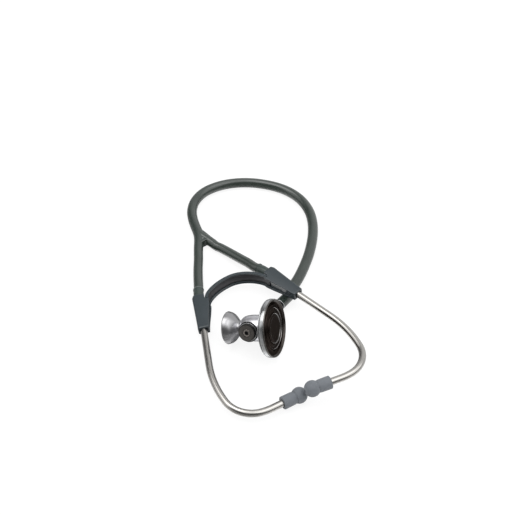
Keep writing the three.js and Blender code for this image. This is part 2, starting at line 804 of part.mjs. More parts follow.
// Cap and the screw that holds it on the spindle's end
const capBack = spindleEnd - gap;
const capFront = capBack - capThickness;

function capGeometry() {
  const disc = alongY(turned([
    [capFront, 0], [capFront, capRadius - edge], [capFront + edge, capRadius],
    [capBack, capRadius], [capBack, 0],
  ]));
  const headSeat = capFront + screwHeadHeight + gap;
  const counterbore = alongY(rod(capFront - 1, headSeat, screwHeadRadius + gap, smallSides));
  const hole = alongY(rod(capFront, capBack + 1, screwRadius + gap, tinySides));
  return cut(disc, counterbore, hole);
}

function screwGeometry() {
  const under = capFront + screwHeadHeight;
  const body = alongY(turned([
    [capFront, 0], [capFront, screwHeadRadius - edge], [capFront + edge, screwHeadRadius],
    [under, screwHeadRadius], [under, screwRadius], [spindleEnd + screwLength - gap, screwRadius],
    [spindleEnd + screwLength - gap, 0],
  ], smallSides));
  return cut(body, alongY(rod(capFront - 1, capFront + hexDepth, hexSocket, 6)));
}

piece('retaining_cap', capGeometry(), darkSteel, head);
piece('retaining_screw', screwGeometry(), darkSteel, head);

// Main tube: from the stem ring along the table, under the right sleeve, round to the fork
const ringSpan = ringWidth + 2 * gap;
const tubeStart = stemEnd.clone().addScaledVector(stem.forward, ringSpan).applyMatrix4(head.matrixWorld);
const tubeAhead = stem.forward.clone().applyQuaternion(head.quaternion);
const tubeLie = mainTubeRadius + tubeLift;
const mainRoute = [
  [45.6, -26.8], [56.5, -18.4], [67.8, -8.2], [77.6, 1.8], [86.9, 13.0], [95.0, 24.6],
  [101.4, 36.4], [105.8, 48.0], [107.8, 59.0], [107.9, 69.0], [106.0, 78.8], [102.1, 88.4],
  [96.2, 97.3], [89.3, 104.7], [82.0, 110.9], [74.2, 115.8], [65.7, 119.6], [56.2, 122.2],
  [45.6, 123.0], [35.4, 121.6], [26.2, 117.6], [17.6, 110.4], [11.0, 100.4], [7.2, 89.4],
];
const forkTop = vector(4.4, 74.5, tubeLie);
const forkAhead = vector(-0.16, -0.987, 0).normalize();
const mainPath = new THREE.CatmullRomCurve3([
  tubeStart,
  tubeStart.clone().addScaledVector(tubeAhead, tubeRun),
  tubeStart.clone().addScaledVector(tubeAhead, 2 * tubeRun),
  ...mainRoute.map(([x, y]) => vector(x, y, tubeLie)),
  forkTop.clone().addScaledVector(forkAhead, -gap - forkRun),
  forkTop.clone().addScaledVector(forkAhead, -gap),
], false, 'centripetal');
piece('main_tube', tube(mainPath, mainTubeRadius, mainTubeBore, mainTubeSteps), tubingPvc);

// Branch tubes from the fork to the cuffs
const legEnds = {
  left: { start: vector(-5.2, 50.6, legRadius + tubeLift), ahead: vector(-0.42, -0.908, 0).normalize() },
  right: { start: vector(9.8, 52.6, legRadius + tubeLift), ahead: vector(0.27, -0.963, 0).normalize() },
};
const legMiddles = {
  left: [[-9.5, 41.0, 4.2], [-15.0, 29.6, 4.5], [-19.9, 18.6, 5.1]],
  right: [[13.1, 44.2, 4.4], [17.3, 32.9, 5.6], [21.0, 21.0, 7.4], [23.6, 11.0, 9.6]],
};
for (const [name, side] of Object.entries(sides)) {
  const { start, ahead } = legEnds[name];
  const finish = onSide(side, cuffLine(cuffSag[name], gap).at(-1));
  const beforeFinish = onSide(side, cuffLine(cuffSag[name], gap + tubeRun).at(-1));
  const path = new THREE.CatmullRomCurve3([
    start.clone().addScaledVector(ahead, gap),
    start.clone().addScaledVector(ahead, gap + tubeRun),
    ...legMiddles[name].map(([x, y, z]) => vector(x, y, z)),
    beforeFinish, finish,
  ], false, 'centripetal');
  piece(`${name}_leg`, tube(path, legRadius, legBore, legSteps), tubingPvc);
}

// Fork: two branches that share the main tube's end, with a web between them
function forkBranch({ start, ahead }, wide, narrow, facets, beyond = 0) {
  const path = new THREE.CubicBezierCurve3(
    forkTop.clone().addScaledVector(forkAhead, -beyond),
    forkTop.clone().addScaledVector(forkAhead, forkPull),
    start.clone().addScaledVector(ahead, -forkPull),
    start.clone().addScaledVector(ahead, beyond),
  );
  const frames = framesAlong(path, forkSteps, () => vector(0, 0, 1), (u) => wide + (narrow - wide) * u);
  return swept(circle(1, facets), frames);
}

function forkGeometry() {
  const { left, right } = legEnds;
  const outer = join(
    forkBranch(left, mainTubeRadius, legRadius, tinySides),
    forkBranch(right, mainTubeRadius, legRadius, tinySides),
  );
  const crotch = left.start.clone().lerp(right.start, 0.5).lerp(forkTop, forkWebShare);
  const web = new THREE.CylinderGeometry(forkWebRadius, forkWebRadius, mainTubeRadius, tinySides);
  web.rotateX(Math.PI / 2).translate(crotch.x, crotch.y, mainTubeRadius);
  return cut(
    join(outer, web),
    forkBranch(left, mainTubeBore, legBore, tubeBoreSides, 1),
    forkBranch(right, mainTubeBore, legBore, tubeBoreSides, 1),
  );
}

piece('tube_fork', forkGeometry(), tubingPvc);

// The origin lies on the table under the middle of everything but the tubing
const tubing = ['main_tube', 'tube_fork', 'left_leg', 'right_leg'];
table.updateMatrixWorld(true);
const bounds = new THREE.Box3();
table.traverse((node) => {
  if (node.isMesh && !tubing.includes(node.name)) {
    bounds.expandByObject(node, true);
  }
});
const centre = bounds.getCenter(vector(0, 0, 0));
table.position.set(-centre.x, -centre.y, -bounds.min.z);
const stethoscope = new THREE.Group();
stethoscope.add(table);
stethoscope.updateMatrixWorld(true);

export default stethoscope;
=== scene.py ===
"""Looks of the stethoscope: smooth pieces, materials, light and camera round the fixed frame."""
import math

import bmesh
import bpy
import numpy as np
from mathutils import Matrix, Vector


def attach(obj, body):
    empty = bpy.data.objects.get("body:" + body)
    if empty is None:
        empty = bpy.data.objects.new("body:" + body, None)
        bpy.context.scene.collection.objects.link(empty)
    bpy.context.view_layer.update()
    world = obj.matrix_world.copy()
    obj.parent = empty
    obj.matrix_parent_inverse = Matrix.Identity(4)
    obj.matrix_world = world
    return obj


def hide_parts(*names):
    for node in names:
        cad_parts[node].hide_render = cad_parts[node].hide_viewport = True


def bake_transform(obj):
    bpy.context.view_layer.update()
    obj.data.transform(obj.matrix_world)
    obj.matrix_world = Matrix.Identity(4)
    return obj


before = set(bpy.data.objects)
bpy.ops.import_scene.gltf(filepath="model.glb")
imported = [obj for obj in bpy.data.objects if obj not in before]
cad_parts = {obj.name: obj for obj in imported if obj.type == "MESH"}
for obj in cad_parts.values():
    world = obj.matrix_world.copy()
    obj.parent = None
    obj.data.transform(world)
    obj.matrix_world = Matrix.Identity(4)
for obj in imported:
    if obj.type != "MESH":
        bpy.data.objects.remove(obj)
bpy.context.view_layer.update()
scene = bpy.context.scene
scene.view_settings.view_transform = "Standard"

MM = 0.001
TINY = 1e-6
radians = math.radians


def vec(*values):
    return np.array(values, float)


def unit(v):
    return v / np.linalg.norm(v)


def link(name, data):
    """A new object in the scene."""
    made = bpy.data.objects.new(name, data)
    scene.collection.objects.link(made)
    return made


def look_at(thing, location, target):
    thing.location = location
    thing.rotation_mode = "QUATERNION"
    thing.rotation_quaternion = (Vector(target) - Vector(location)).to_track_quat("-Z", "Y")


# Camera, in metres
camera_data = bpy.data.cameras.new("camera")
camera_data.sensor_width = 36.0
camera_data.lens = 54.52
camera_data.clip_start = 0.01
camera_data.clip_end = 50.0
camera = link("camera", camera_data)
scene.camera = camera
look_at(camera, location=(-0.1887, -0.3482, 0.4669), target=(0.0393, 0.08786, 0.0))


# Local frames, in millimetres of the row frame
class Place:
    """An origin and three axes; hand is -1 where the piece is mirrored in y."""

    def __init__(self, origin, x, y, z, hand=1):
        self.origin = vec(*origin)
        self.axes = np.array([unit(vec(*x)), unit(vec(*y)) * hand, unit(vec(*z))])

    def out(self, points):
        return self.origin + np.asarray(points, float) @ self.axes

    def direction(self, v):
        return np.asarray(v, float) @ self.axes


HEAD = Place((-8.696, 3.045, 18.283), (0.68522, -0.66635, 0.29404), (0.71327, 0.53222, -0.45607),
             (0.14740, 0.52223, 0.83997))


def side_places(origin, x, sleeve_axes, ear_axes, hand=1):
    """Places of a sleeve and its ear tube, which share their origin and x, each with a roll of its own."""
    return Place(origin, x, *sleeve_axes, hand=hand), Place(origin, x, *ear_axes, hand=hand)


SIDES = {
    "left": side_places(
        (-25.960, 67.905, 6.199), (-0.31561, -0.94876, 0.01571),
        sleeve_axes=[(0.94241, -0.31148, 0.12185), (-0.11072, 0.05326, 0.99242)],
        ear_axes=[(0.94827, -0.31596, -0.03100), (0.03437, 0.00511, 0.99940)]),
    "right": side_places(
        (29.040, 61.505, 13.399), (0.28548, -0.95762, 0.03839),
        sleeve_axes=[(0.94984, 0.28804, 0.12178), (-0.12768, 0.00170, 0.99181)],
        ear_axes=[(0.95771, 0.28655, 0.02616), (-0.03605, 0.02930, 0.99892)], hand=-1),
}


# Mesh making
def shade_smooth(mesh, sharp=None):
    """Smooth faces; edges stay sharp beyond an angle in degrees, where one is given."""
    for polygon in mesh.polygons:
        polygon.use_smooth = True
    if sharp is not None:
        mesh.set_sharp_from_angle(angle=radians(sharp))


def mesh_piece(name, points, faces, look, sharp=None):
    """A piece from points in millimetres of the row frame."""
    mesh = bpy.data.meshes.new(name)
    mesh.from_pydata([tuple(p * MM) for p in np.asarray(points)], [], [tuple(map(int, f)) for f in faces])
    work = bmesh.new()
    work.from_mesh(mesh)
    bmesh.ops.recalc_face_normals(work, faces=work.faces)
    work.to_mesh(mesh)
    work.free()
    shade_smooth(mesh, sharp)
    mesh.materials.append(look)
    return link(name, mesh)


def apply_modifiers(piece):
    """The piece keeps the shape that its modifiers give it."""
    bpy.context.view_layer.update()
    evaluated = piece.evaluated_get(bpy.context.evaluated_depsgraph_get())
    shape = bpy.data.meshes.new_from_object(evaluated)
    piece.modifiers.clear()
    piece.data = shape
    return shape


def second_look(piece, look, segments, chosen):
    """Another finish on the rings of faces, counted from the profile's start, that are chosen."""
    piece.data.materials.append(look)
    for polygon in piece.data.polygons:
        if chosen(polygon.index // segments):
            polygon.material_index = 1


def stand_in(piece, body, node_name):
    """The piece rides on a body and stands for a solid, which is hidden."""
    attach(piece, body)
    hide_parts(node_name)
    return piece


def soften(corners, radius, steps=4, closed=False):
    """Corner points with each corner rounded; radius is one number or one per corner."""
    corners = [vec(*c) for c in corners]
    count = len(corners)
    radii = [radius] * count if np.isscalar(radius) else list(radius)
    most_of_edge = 0.49
    made = []
    for i, corner in enumerate(corners):
        if not closed and i in (0, count - 1):
            made.append(corner)
            continue
        before, after = corners[i - 1], corners[(i + 1) % count]
        back, front = np.linalg.norm(before - corner), np.linalg.norm(after - corner)
        reach = min(radii[i], most_of_edge * back, most_of_edge * front)
        a = corner + (before - corner) / max(back, TINY) * reach
        b = corner + (after - corner) / max(front, TINY) * reach
        for step in range(steps + 1):
            t = step / steps
            made.append((1 - t) ** 2 * a + 2 * t * (1 - t) * corner + t ** 2 * b)
    return made


def band(back, front, bore, radius, edges, steps=4):
    """Closed profile of a flat ring, its four corners rounded."""
    return soften([(back, bore), (back, radius), (front, radius), (front, bore)], edges, steps, closed=True)


def round_angles(count):
    return np.linspace(0, 2 * math.pi, count, endpoint=False)


def circle(x, radius, count):
    """Points of a ring at x."""
    return [(x, radius * math.cos(a), radius * math.sin(a)) for a in round_angles(count)]


def lathe(profile, segments=96, closed=False):
    """Points and faces of a body turned about X from (x, radius) pairs."""
    points, rings = [], []
    for x, radius in profile:
        start = len(points)
        points += [(x, 0, 0)] if radius < TINY else circle(x, radius, segments)
        rings.append(range(start, len(points)))
    pairs = list(zip(rings, rings[1:]))
    if closed:
        pairs.append((rings[-1], rings[0]))
    faces = []
    for a, b in pairs:
        for i in range(segments):
            j = (i + 1) % segments
            corners = [a[i % len(a)], a[j % len(a)], b[j % len(b)], b[i % len(b)]]
            face = list(dict.fromkeys(corners))
            if len(face) > 2:
                faces.append(face)
    return np.array(points), faces


def along_y(points):
    """A body turned about X, laid along Y instead."""
    return np.stack([-points[:, 1], points[:, 0], points[:, 2]], 1)


def turned(name, profile, look, body, node_name, segments=96, closed=False, across=False, sharp=None):
    """A turned piece of the chestpiece, about its long axis or about the stem's axis across it."""
    points, faces = lathe(profile, segments, closed)
    if across:
        points = along_y(points)
    return stand_in(mesh_piece(name, HEAD.out(points), faces, look, sharp), body, node_name)


def mid_radius(profile, k):
    """Mean radius of a profile's stretch from point k to the next."""
    return (profile[k][1] + profile[(k + 1) % len(profile)][1]) / 2


def loft(rings):
    """Points and faces of a closed skin over rings of equal count."""
    count = len(rings[0])
    points = np.concatenate([np.asarray(r, float) for r in rings])
    faces = []
    for k in range(len(rings) - 1):
        for i in range(count):
            j = (i + 1) % count
            faces.append([k * count + i, k * count + j, (k + 1) * count + j, (k + 1) * count + i])
    faces.append(list(range(count))[::-1])
    faces.append([(len(rings) - 1) * count + i for i in range(count)])
    return points, faces


def frames_along(path, up):
    """Level frames along a list of points: origin, across, up. The up given may change along the way."""
    path = [vec(*p) for p in path]
    made = []
    for i, origin in enumerate(path):
        forward = unit(path[min(i + 1, len(path) - 1)] - path[max(i - 1, 0)])
        lift = up(i / (len(path) - 1)) if callable(up) else up
        across = unit(np.cross(lift, forward))
        made.append((origin, across, np.cross(forward, across)))
    return made


def pipe(path, radius, sides=32, up=(0, 0, 1), radii=None):
    """A round solid tube along points, of one radius or of one for each point."""
    rings = []
    for i, (origin, across, lift) in enumerate(frames_along(path, vec(*up))):
        r = radius if radii is None else radii[i]
        rings.append([origin + r * (math.cos(a) * across + math.sin(a) * lift)
                      for a in round_angles(sides)])
    return loft(rings)


def bezier(p0, p1, p2, p3, t):
    return (1 - t) ** 3 * p0 + 3 * t * (1 - t) ** 2 * p1 + 3 * t ** 2 * (1 - t) * p2 + t ** 3 * p3


def catmull_rom(points, per_span=8):
    """A centripetal Catmull-Rom line through points."""
    points = [vec(*p) for p in points]
    first = 2 * points[0] - points[1]
    last = 2 * points[-1] - points[-2]
    padded = [first] + points + [last]
    made = []
    for i in range(1, len(padded) - 2):
        p0, p1, p2, p3 = padded[i - 1:i + 3]
        d = [max(np.linalg.norm(b - a), TINY) ** 0.5 for a, b in ((p0, p1), (p1, p2), (p2, p3))]
        t1 = ((p1 - p0) / d[0] - (p2 - p0) / (d[0] + d[1]) + (p2 - p1) / d[1]) * d[1]
        t2 = ((p2 - p1) / d[1] - (p3 - p1) / (d[1] + d[2]) + (p3 - p2) / d[2]) * d[1]
        for step in range(per_span):
            t = step / per_span
            made.append((2 * t ** 3 - 3 * t ** 2 + 1) * p1 + (t ** 3 - 2 * t ** 2 + t) * t1
                        + (-2 * t ** 3 + 3 * t ** 2) * p2 + (t ** 3 - t ** 2) * t2)
    made.append(points[-1])
    return made


# Materials
NOISE_LOW = 0.3
NOISE_HIGH = 0.7
LEAST_ROUGHNESS = 0.02
FINE_DEPTH = 0.00001
MIRROR_DEPTH = 0.000005


def set_sockets(made, sockets):
    for socket, value in sockets.items():
        made.inputs[socket].default_value = value


def node(tree, kind, sockets=None, **settings):
    """A new node with its settings and the values of its sockets."""
    made = tree.nodes.new(kind)
    for key, value in settings.items():
        setattr(made, key, value)
    set_sockets(made, sockets or {})
    return made


def finish(name, colour, roughness, metallic=0.0, spread=0.08, patch=60.0, rough_spread=0.06,
           rough_patch=180.0, grain=900.0, bump=0.15, depth=0.00004, coat=0.0, coat_roughness=0.1,
           coat_ior=1.5, specular=0.5, sheen=0.0, edge_tint=1.0):
    """A surface whose colour, roughness and bump vary gently from noise; depth is in metres."""
    made = bpy.data.materials.new(name)
    made.use_nodes = True
    tree = made.node_tree
    shader = tree.nodes["Principled BSDF"]
    place = node(tree, "ShaderNodeTexCoord")

    def noise(scale, detail, rough=0.5):
        texture = node(tree, "ShaderNodeTexNoise", {"Scale": scale, "Detail": detail, "Roughness": rough})
        tree.links.new(place.outputs["Object"], texture.inputs["Vector"])
        return texture.outputs["Fac"]

    ramp = node(tree, "ShaderNodeValToRGB")
    dark = [c * (1 - spread) for c in colour]
    light = [min(1.0, c * (1 + spread)) for c in colour]
    for element, position, shade in zip(ramp.color_ramp.elements, (NOISE_LOW, NOISE_HIGH), (dark, light)):
        element.position = position
        element.color = (*shade, 1)
    tree.links.new(noise(patch, detail=4), ramp.inputs["Fac"])
    tree.links.new(ramp.outputs["Color"], shader.inputs["Base Color"])

    gloss = node(tree, "ShaderNodeMapRange", {
        "From Min": NOISE_LOW,
        "From Max": NOISE_HIGH,
        "To Min": max(LEAST_ROUGHNESS, roughness - rough_spread),
        "To Max": min(1.0, roughness + rough_spread),
    })
    tree.links.new(noise(rough_patch, detail=5, rough=0.6), gloss.inputs["Value"])
    tree.links.new(gloss.outputs["Result"], shader.inputs["Roughness"])

    lift = node(tree, "ShaderNodeBump", {"Strength": bump, "Distance": depth})
    tree.links.new(noise(grain, detail=3, rough=0.55), lift.inputs["Height"])
    tree.links.new(lift.outputs["Normal"], shader.inputs["Normal"])

    set_sockets(shader, {
        "Metallic": metallic,
        "Coat Weight": coat,
        "Coat Roughness": coat_roughness,
        "Coat IOR": coat_ior,
        "Specular IOR Level": specular,
        "Specular Tint": (edge_tint, edge_tint, edge_tint, 1),
        "Sheen Weight": sheen,
    })
    return made


def metal(name, colour, roughness, depth=FINE_DEPTH, patch=200, grain=3000, bump=0.05, **rest):
    return finish(name, colour, roughness, metallic=1, depth=depth, patch=patch, grain=grain, bump=bump,
                  **rest)


tubing = finish("tubing_pvc", (0.023, 0.0335, 0.0275), 0.36, spread=0.1, patch=90, rough_spread=0.05,
                grain=700, bump=0.1, coat=0.85, coat_roughness=0.14, coat_ior=1.6)
cuff_pvc = finish("cuff_pvc", (0.032, 0.047, 0.042), 0.4, spread=0.1, patch=110, bump=0.12, coat=0.5,
                  coat_roughness=0.15)
# Paler grey-green for the left cuff's lip: a painted highlight along the top of the cuff.
lip_painted_highlight_pvc = finish("cuff_lip_painted_highlight", (0.17, 0.19, 0.185), 0.25, spread=0.1, patch=300, bump=0.1)
yoke_plastic = finish("yoke_plastic", (0.029, 0.040, 0.047), 0.4, spread=0.07, patch=70, rough_spread=0.05,
                      grain=2600, bump=0.2, depth=0.00003, coat=0.6, coat_roughness=0.12, specular=0.3)
tip_rubber = finish("ear_tip_rubber", (0.152, 0.166, 0.185), 0.62, spread=0.06, patch=120, grain=2200,
                    bump=0.22, depth=0.00003, sheen=0.15)
seal = finish("seal_rubber", (0.02, 0.02, 0.02), 0.6, spread=0.1, patch=300, grain=2500, bump=0.2)
polished = metal("polished_steel", (0.56, 0.545, 0.52), 0.2, MIRROR_DEPTH, spread=0.03, rough_spread=0.03,
                 rough_patch=300, grain=1500, bump=0.02)
satin = metal("satin_steel", (0.46, 0.46, 0.47), 0.31, spread=0.02, patch=120, rough_spread=0.02,
              rough_patch=200, grain=3500)
block_steel = metal("block_steel", (0.84, 0.84, 0.88), 0.34, spread=0.04, rough_spread=0.04,
                    rough_patch=300, bump=0.08)
chrome = metal("chrome", (0.60, 0.61, 0.62), 0.18, MIRROR_DEPTH, spread=0.02, rough_spread=0.03,
               rough_patch=300, grain=1500, bump=0.02)
# Dark base colour on the stem's metal: painted shade for the shadow and dark reflections round the stem.
stem_painted_shade_metal = metal("stem_painted_shade_metal", (0.11, 0.115, 0.12), 0.2, MIRROR_DEPTH, spread=0.05, patch=250,
                   rough_spread=0.04, grain=1800, bump=0.04)
dark_metal = metal("dark_metal", (0.20, 0.188, 0.176), 0.3, spread=0.04, rough_spread=0.03,
                   rough_patch=400, grain=4200, bump=0.06)
# Near-black metal as painted shade: in the cap's recess and round its edge, in the screw's socket, and in
# the gap between washer and block.
recess_painted_shade = metal("recess_painted_shade", (0.035, 0.034, 0.033), 0.35, spread=0.05)
screw_metal = metal("screw_metal", (0.42, 0.38, 0.35), 0.25, spread=0.05, patch=300)
taupe_metal = metal("rim_front_metal", (0.16, 0.15, 0.14), 0.3, spread=0.06, rough_spread=0.04, bump=0.06)
spring_steel = metal("spring_steel", (0.07, 0.07, 0.074), 0.42, spread=0.06, patch=300, grain=2500,
                     bump=0.08)
resin = metal("diaphragm_resin", (0.030, 0.023, 0.020), 0.13, spread=0.15, patch=160, rough_spread=0.03,
              grain=1800, bump=0.03, edge_tint=0.5)
# Darker metal on the inner bevel of the rim's lip: painted shade for the dark reflection there.
rim_bevel_painted_shade = metal("rim_bevel_painted_shade_metal", (0.075, 0.066, 0.062), 0.26, spread=0.25, patch=260, rough_spread=0.05,
                   grain=1800)
# Lighter metal on the steep inner sides of the beads: painted highlight arcs on the dark diaphragm.
bead_painted_highlight = metal("diaphragm_bead_painted_highlight", (0.27, 0.26, 0.255), 0.13, spread=0.35, patch=170,
                   rough_spread=0.04, grain=1800)


# Tubing. Sizes are in millimetres, the points of the routes in metres from the layout's origin.
TUBE_RADIUS = 4.5
LEG_RADIUS = 4.0
TUBE_LIE = 4.6
LEG_LIE = 4.1
TUBE_RUN = 4.2
FORK_RUN = 7.0
LAYOUT = vec(1.140, 65.305, 0)
STEM_STRAIGHT = 18.4
STEM_BEND_RADIUS = 16.0
STEM_BEND = radians(23.0)
STEM_ROLL = radians(47.0)
STEM_TAIL = 22.6
RING_WIDTH = 1.4
JOINT_GAP = 0.3
TUBE_OVERLAP = 5.0

bend_plane = vec(math.cos(STEM_ROLL), 0, math.sin(STEM_ROLL))
stem_forward = vec(0, math.cos(STEM_BEND), 0) + bend_plane * math.sin(STEM_BEND)


def stem_line(steps=10):
    corner = vec(0, STEM_STRAIGHT, 0)
    line = []
    for a in np.linspace(0, STEM_BEND, steps + 1):
        ahead = vec(0, STEM_BEND_RADIUS * math.sin(a), 0)
        line.append(corner + ahead + bend_plane * STEM_BEND_RADIUS * (1 - math.cos(a)))
    return line + [line[-1] + stem_forward * STEM_TAIL]


stem_end = stem_line()[-1]
tube_start = HEAD.out([stem_end + stem_forward * (RING_WIDTH + 2 * JOINT_GAP)])[0]
tube_ahead = HEAD.direction(stem_forward)
MAIN_ROUTE = [
    (0.0456, -0.0268), (0.0565, -0.0184), (0.0678, -0.0082), (0.0776, 0.0018), (0.0869, 0.0130),
    (0.0950, 0.0246), (0.1014, 0.0364), (0.1058, 0.0480), (0.1078, 0.0590), (0.1079, 0.0690),
    (0.1060, 0.0788), (0.1021, 0.0884), (0.0962, 0.0973), (0.0893, 0.1047), (0.0820, 0.1109),
    (0.0742, 0.1158), (0.0657, 0.1196), (0.0562, 0.1222), (0.0456, 0.1230), (0.0354, 0.1216),
    (0.0262, 0.1176), (0.0176, 0.1104), (0.0110, 0.1004), (0.0072, 0.0894),
]
FORK_TOP = LAYOUT + vec(4.4, 74.5, TUBE_LIE)
FORK_AHEAD = unit(vec(-0.16, -0.987, 0))
main_points = [tube_start, tube_start + TUBE_RUN * tube_ahead, tube_start + 2 * TUBE_RUN * tube_ahead]
main_points += [LAYOUT + vec(x / MM, y / MM, TUBE_LIE) for x, y in MAIN_ROUTE]
main_points += [FORK_TOP - (JOINT_GAP + FORK_RUN) * FORK_AHEAD, FORK_TOP - JOINT_GAP * FORK_AHEAD]
main_path = catmull_rom(main_points)

LEG_ROUTES = {
    "left": [(-0.0095, 0.0410, 0.0042), (-0.0150, 0.0296, 0.0045), (-0.0199, 0.0186, 0.0051)],
    "right": [(0.0131, 0.0442, 0.0044), (0.0173, 0.0329, 0.0056), (0.0210, 0.0210, 0.0074),
              (0.0236, 0.0110, 0.0096)],
}
LEG_START = {"left": LAYOUT + vec(-5.2, 50.6, LEG_LIE), "right": LAYOUT + vec(9.8, 52.6, LEG_LIE)}
LEG_AHEAD = {"left": unit(vec(-0.42, -0.908, 0)), "right": unit(vec(0.27, -0.963, 0))}
CUFF_SEAT = 7.7
CUFF_LENGTH = 10.5
CUFF_TOP = CUFF_SEAT - CUFF_LENGTH
CUFF_LEAN = 0.1
CUFF_SAG = {"left": 0.04, "right": 0.19}


def bent(points, sag):
    """Points of a straight cuff along X, bent inwards and down beyond its seat."""
    points = np.asarray(points, float)
    along = np.maximum(0.0, CUFF_SEAT - points[:, 0])
    lean, drop = CUFF_LEAN * along / CUFF_LENGTH, sag * along / CUFF_LENGTH
    x = points[:, 0] + points[:, 1] * lean - points[:, 2] * drop
    return np.stack([x, points[:, 1] + lean * along / 2, points[:, 2] - drop * along / 2], 1)


def leg_path(name):
    start, ahead = LEG_START[name], LEG_AHEAD[name]
    sag = CUFF_SAG[name]
    top = bent([(CUFF_TOP, 0, 0)], sag)[0]
    out = unit(vec(-1, CUFF_LEAN, -sag))
    last = SIDES[name][0].out([top + out * (JOINT_GAP + TUBE_RUN), top + out * JOINT_GAP])
    middle = [LAYOUT + vec(*p) / MM for p in LEG_ROUTES[name]]
    return catmull_rom([start + JOINT_GAP * ahead, start + (JOINT_GAP + TUBE_RUN) * ahead, *middle, *last])


def tube_piece(name, path, radius, sides):
    """A tube whose ends run on, into what comes before it and up to what comes after it."""
    before = path[0] + unit(path[0] - path[1]) * TUBE_OVERLAP
    after = path[-1] + unit(path[-1] - path[-2]) * JOINT_GAP
    points, faces = pipe([before, *path, after], radius, sides=sides)
    return mesh_piece(name, points, faces, tubing, sharp=50)


main_tube = tube_piece("main_tube_smooth", main_path, TUBE_RADIUS, sides=40)
stand_in(main_tube, "headset", "main_tube")

for name in SIDES:
    path = leg_path(name)
    leg = tube_piece(f"{name}_leg_smooth", path, LEG_RADIUS, sides=36)
    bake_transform(leg)
    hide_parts(f"{name}_leg")


# Fork: two branches melted into one moulded body with a small web in its crotch
FORK_PULL = 10.5
FORK_OVERLAP = 1.3
FORK_SWELL = 0.06
FORK_VOXEL = 0.3
MELT_ROUNDS = 16
MELT_FACTOR = 0.5
SHOULDER = 1.5
SHOULDER_SKEW = 0.72
SHOULDER_SIDE = unit(vec(0.93, 0.37, 0))
WEB_SHARES = (0.1, 0.84)
WEB_HALF = vec(0, 0, 3.8)
DIMPLE_SHARE = 0.7
DIMPLE_DEPTH = 0.8
DIMPLE_WIDTH = 0.9


def fork_point(name, t):
    start, ahead = LEG_START[name], LEG_AHEAD[name]
    return bezier(FORK_TOP, FORK_TOP + FORK_PULL * FORK_AHEAD, start - FORK_PULL * ahead, start, t)


def fork_branch(name, steps=28):
    """One branch, with both ends run on inside the neighbours."""
    shares = np.linspace(0, 1, steps + 1)
    line = [fork_point(name, t) for t in shares]
    radii = [TUBE_RADIUS + (LEG_RADIUS - TUBE_RADIUS) * t + FORK_SWELL for t in shares]
    line = [line[0] - FORK_OVERLAP * FORK_AHEAD, *line, line[-1] + FORK_OVERLAP * LEG_AHEAD[name]]
    return pipe(line, TUBE_RADIUS, sides=40, radii=[radii[0], *radii, radii[-1]])


def fork_shoulder(steps=24):
    """Filling on the outer side of the right branch, where the moulding is fuller."""
    line = []
    for t in np.linspace(0, 1, steps + 1):
        swell = SHOULDER * math.sin(math.pi * t ** SHOULDER_SKEW) ** 2
        line.append(fork_point("right", t) + SHOULDER_SIDE * swell)
    return pipe(line, LEG_RADIUS, sides=40)


def fork_web(steps=12):
    """Flat moulded skin between the branches, up to the crotch."""
    rings = []
    for t in np.linspace(*WEB_SHARES, steps + 1):
        left, right = fork_point("left", t), fork_point("right", t)
        rings.append([left - WEB_HALF, right - WEB_HALF, right + WEB_HALF, left + WEB_HALF])
    return loft(rings)


def fork_piece():
    joined = bmesh.new()
    for points, faces in (fork_web(), fork_shoulder(), fork_branch("left"), fork_branch("right")):
        verts = [joined.verts.new(tuple(p * MM)) for p in points]
        for face in faces:
            joined.faces.new([verts[i] for i in face])
    bmesh.ops.recalc_face_normals(joined, faces=joined.faces)
    mesh = bpy.data.meshes.new("tube_fork_moulded")
    joined.to_mesh(mesh)
    joined.free()
    piece = link("tube_fork_moulded", mesh)
    remesh = piece.modifiers.new("remesh", "REMESH")
    remesh.mode = "VOXEL"
    remesh.voxel_size = FORK_VOXEL * MM
    melt = piece.modifiers.new("melt", "SMOOTH")
    melt.factor = MELT_FACTOR
    melt.iterations = MELT_ROUNDS
    shape = apply_modifiers(piece)
    dimple = (fork_point("left", DIMPLE_SHARE) + fork_point("right", DIMPLE_SHARE)) / 2
    for vertex in shape.vertices:
        place = np.array(vertex.co) / MM
        if place[2] > dimple[2]:
            away = np.linalg.norm(place[:2] - dimple[:2])
            vertex.co.z -= DIMPLE_DEPTH * math.exp(-(away / DIMPLE_WIDTH) ** 2) * MM
    shade_smooth(shape)
    shape.materials.clear()
    shape.materials.append(tubing)
    return piece


fork = stand_in(fork_piece(), "headset", "tube_fork")


# Ear tubes: straight, three bends, straight
EAR_RADIUS = 2.7
EAR_START = 11.5
EAR_BENDS = [(87.3, radians(23.9)), (22.2, radians(76.5)), (42.3, radians(11.5))]
EAR_STRAIGHT = 77.3
EAR_END = 23.0
TIP_TUBE_END = 2.5
DEGREES_PER_STEP = 2.5
LEAST_STEPS = 4
END_STEP = 4.0


def ear_line():
    place, heading = vec(EAR_STRAIGHT, 0, 0), 0.0
    line = [vec(x, 0, 0) for x in np.linspace(EAR_START, EAR_STRAIGHT, 14)]
    for radius, angle in EAR_BENDS:
        steps = max(LEAST_STEPS, round(math.degrees(angle) / DEGREES_PER_STEP))
        half = angle / steps / 2
        for _ in range(steps):
            heading += half
            place = place + 2 * radius * math.sin(half) * vec(math.cos(heading), math.sin(heading), 0)
            line.append(place)
            heading += half
    ahead = vec(math.cos(heading), math.sin(heading), 0)
    line += [place + s * ahead for s in np.linspace(END_STEP, EAR_END - TIP_TUBE_END, LEAST_STEPS)]
    return line, place + EAR_END * ahead, heading


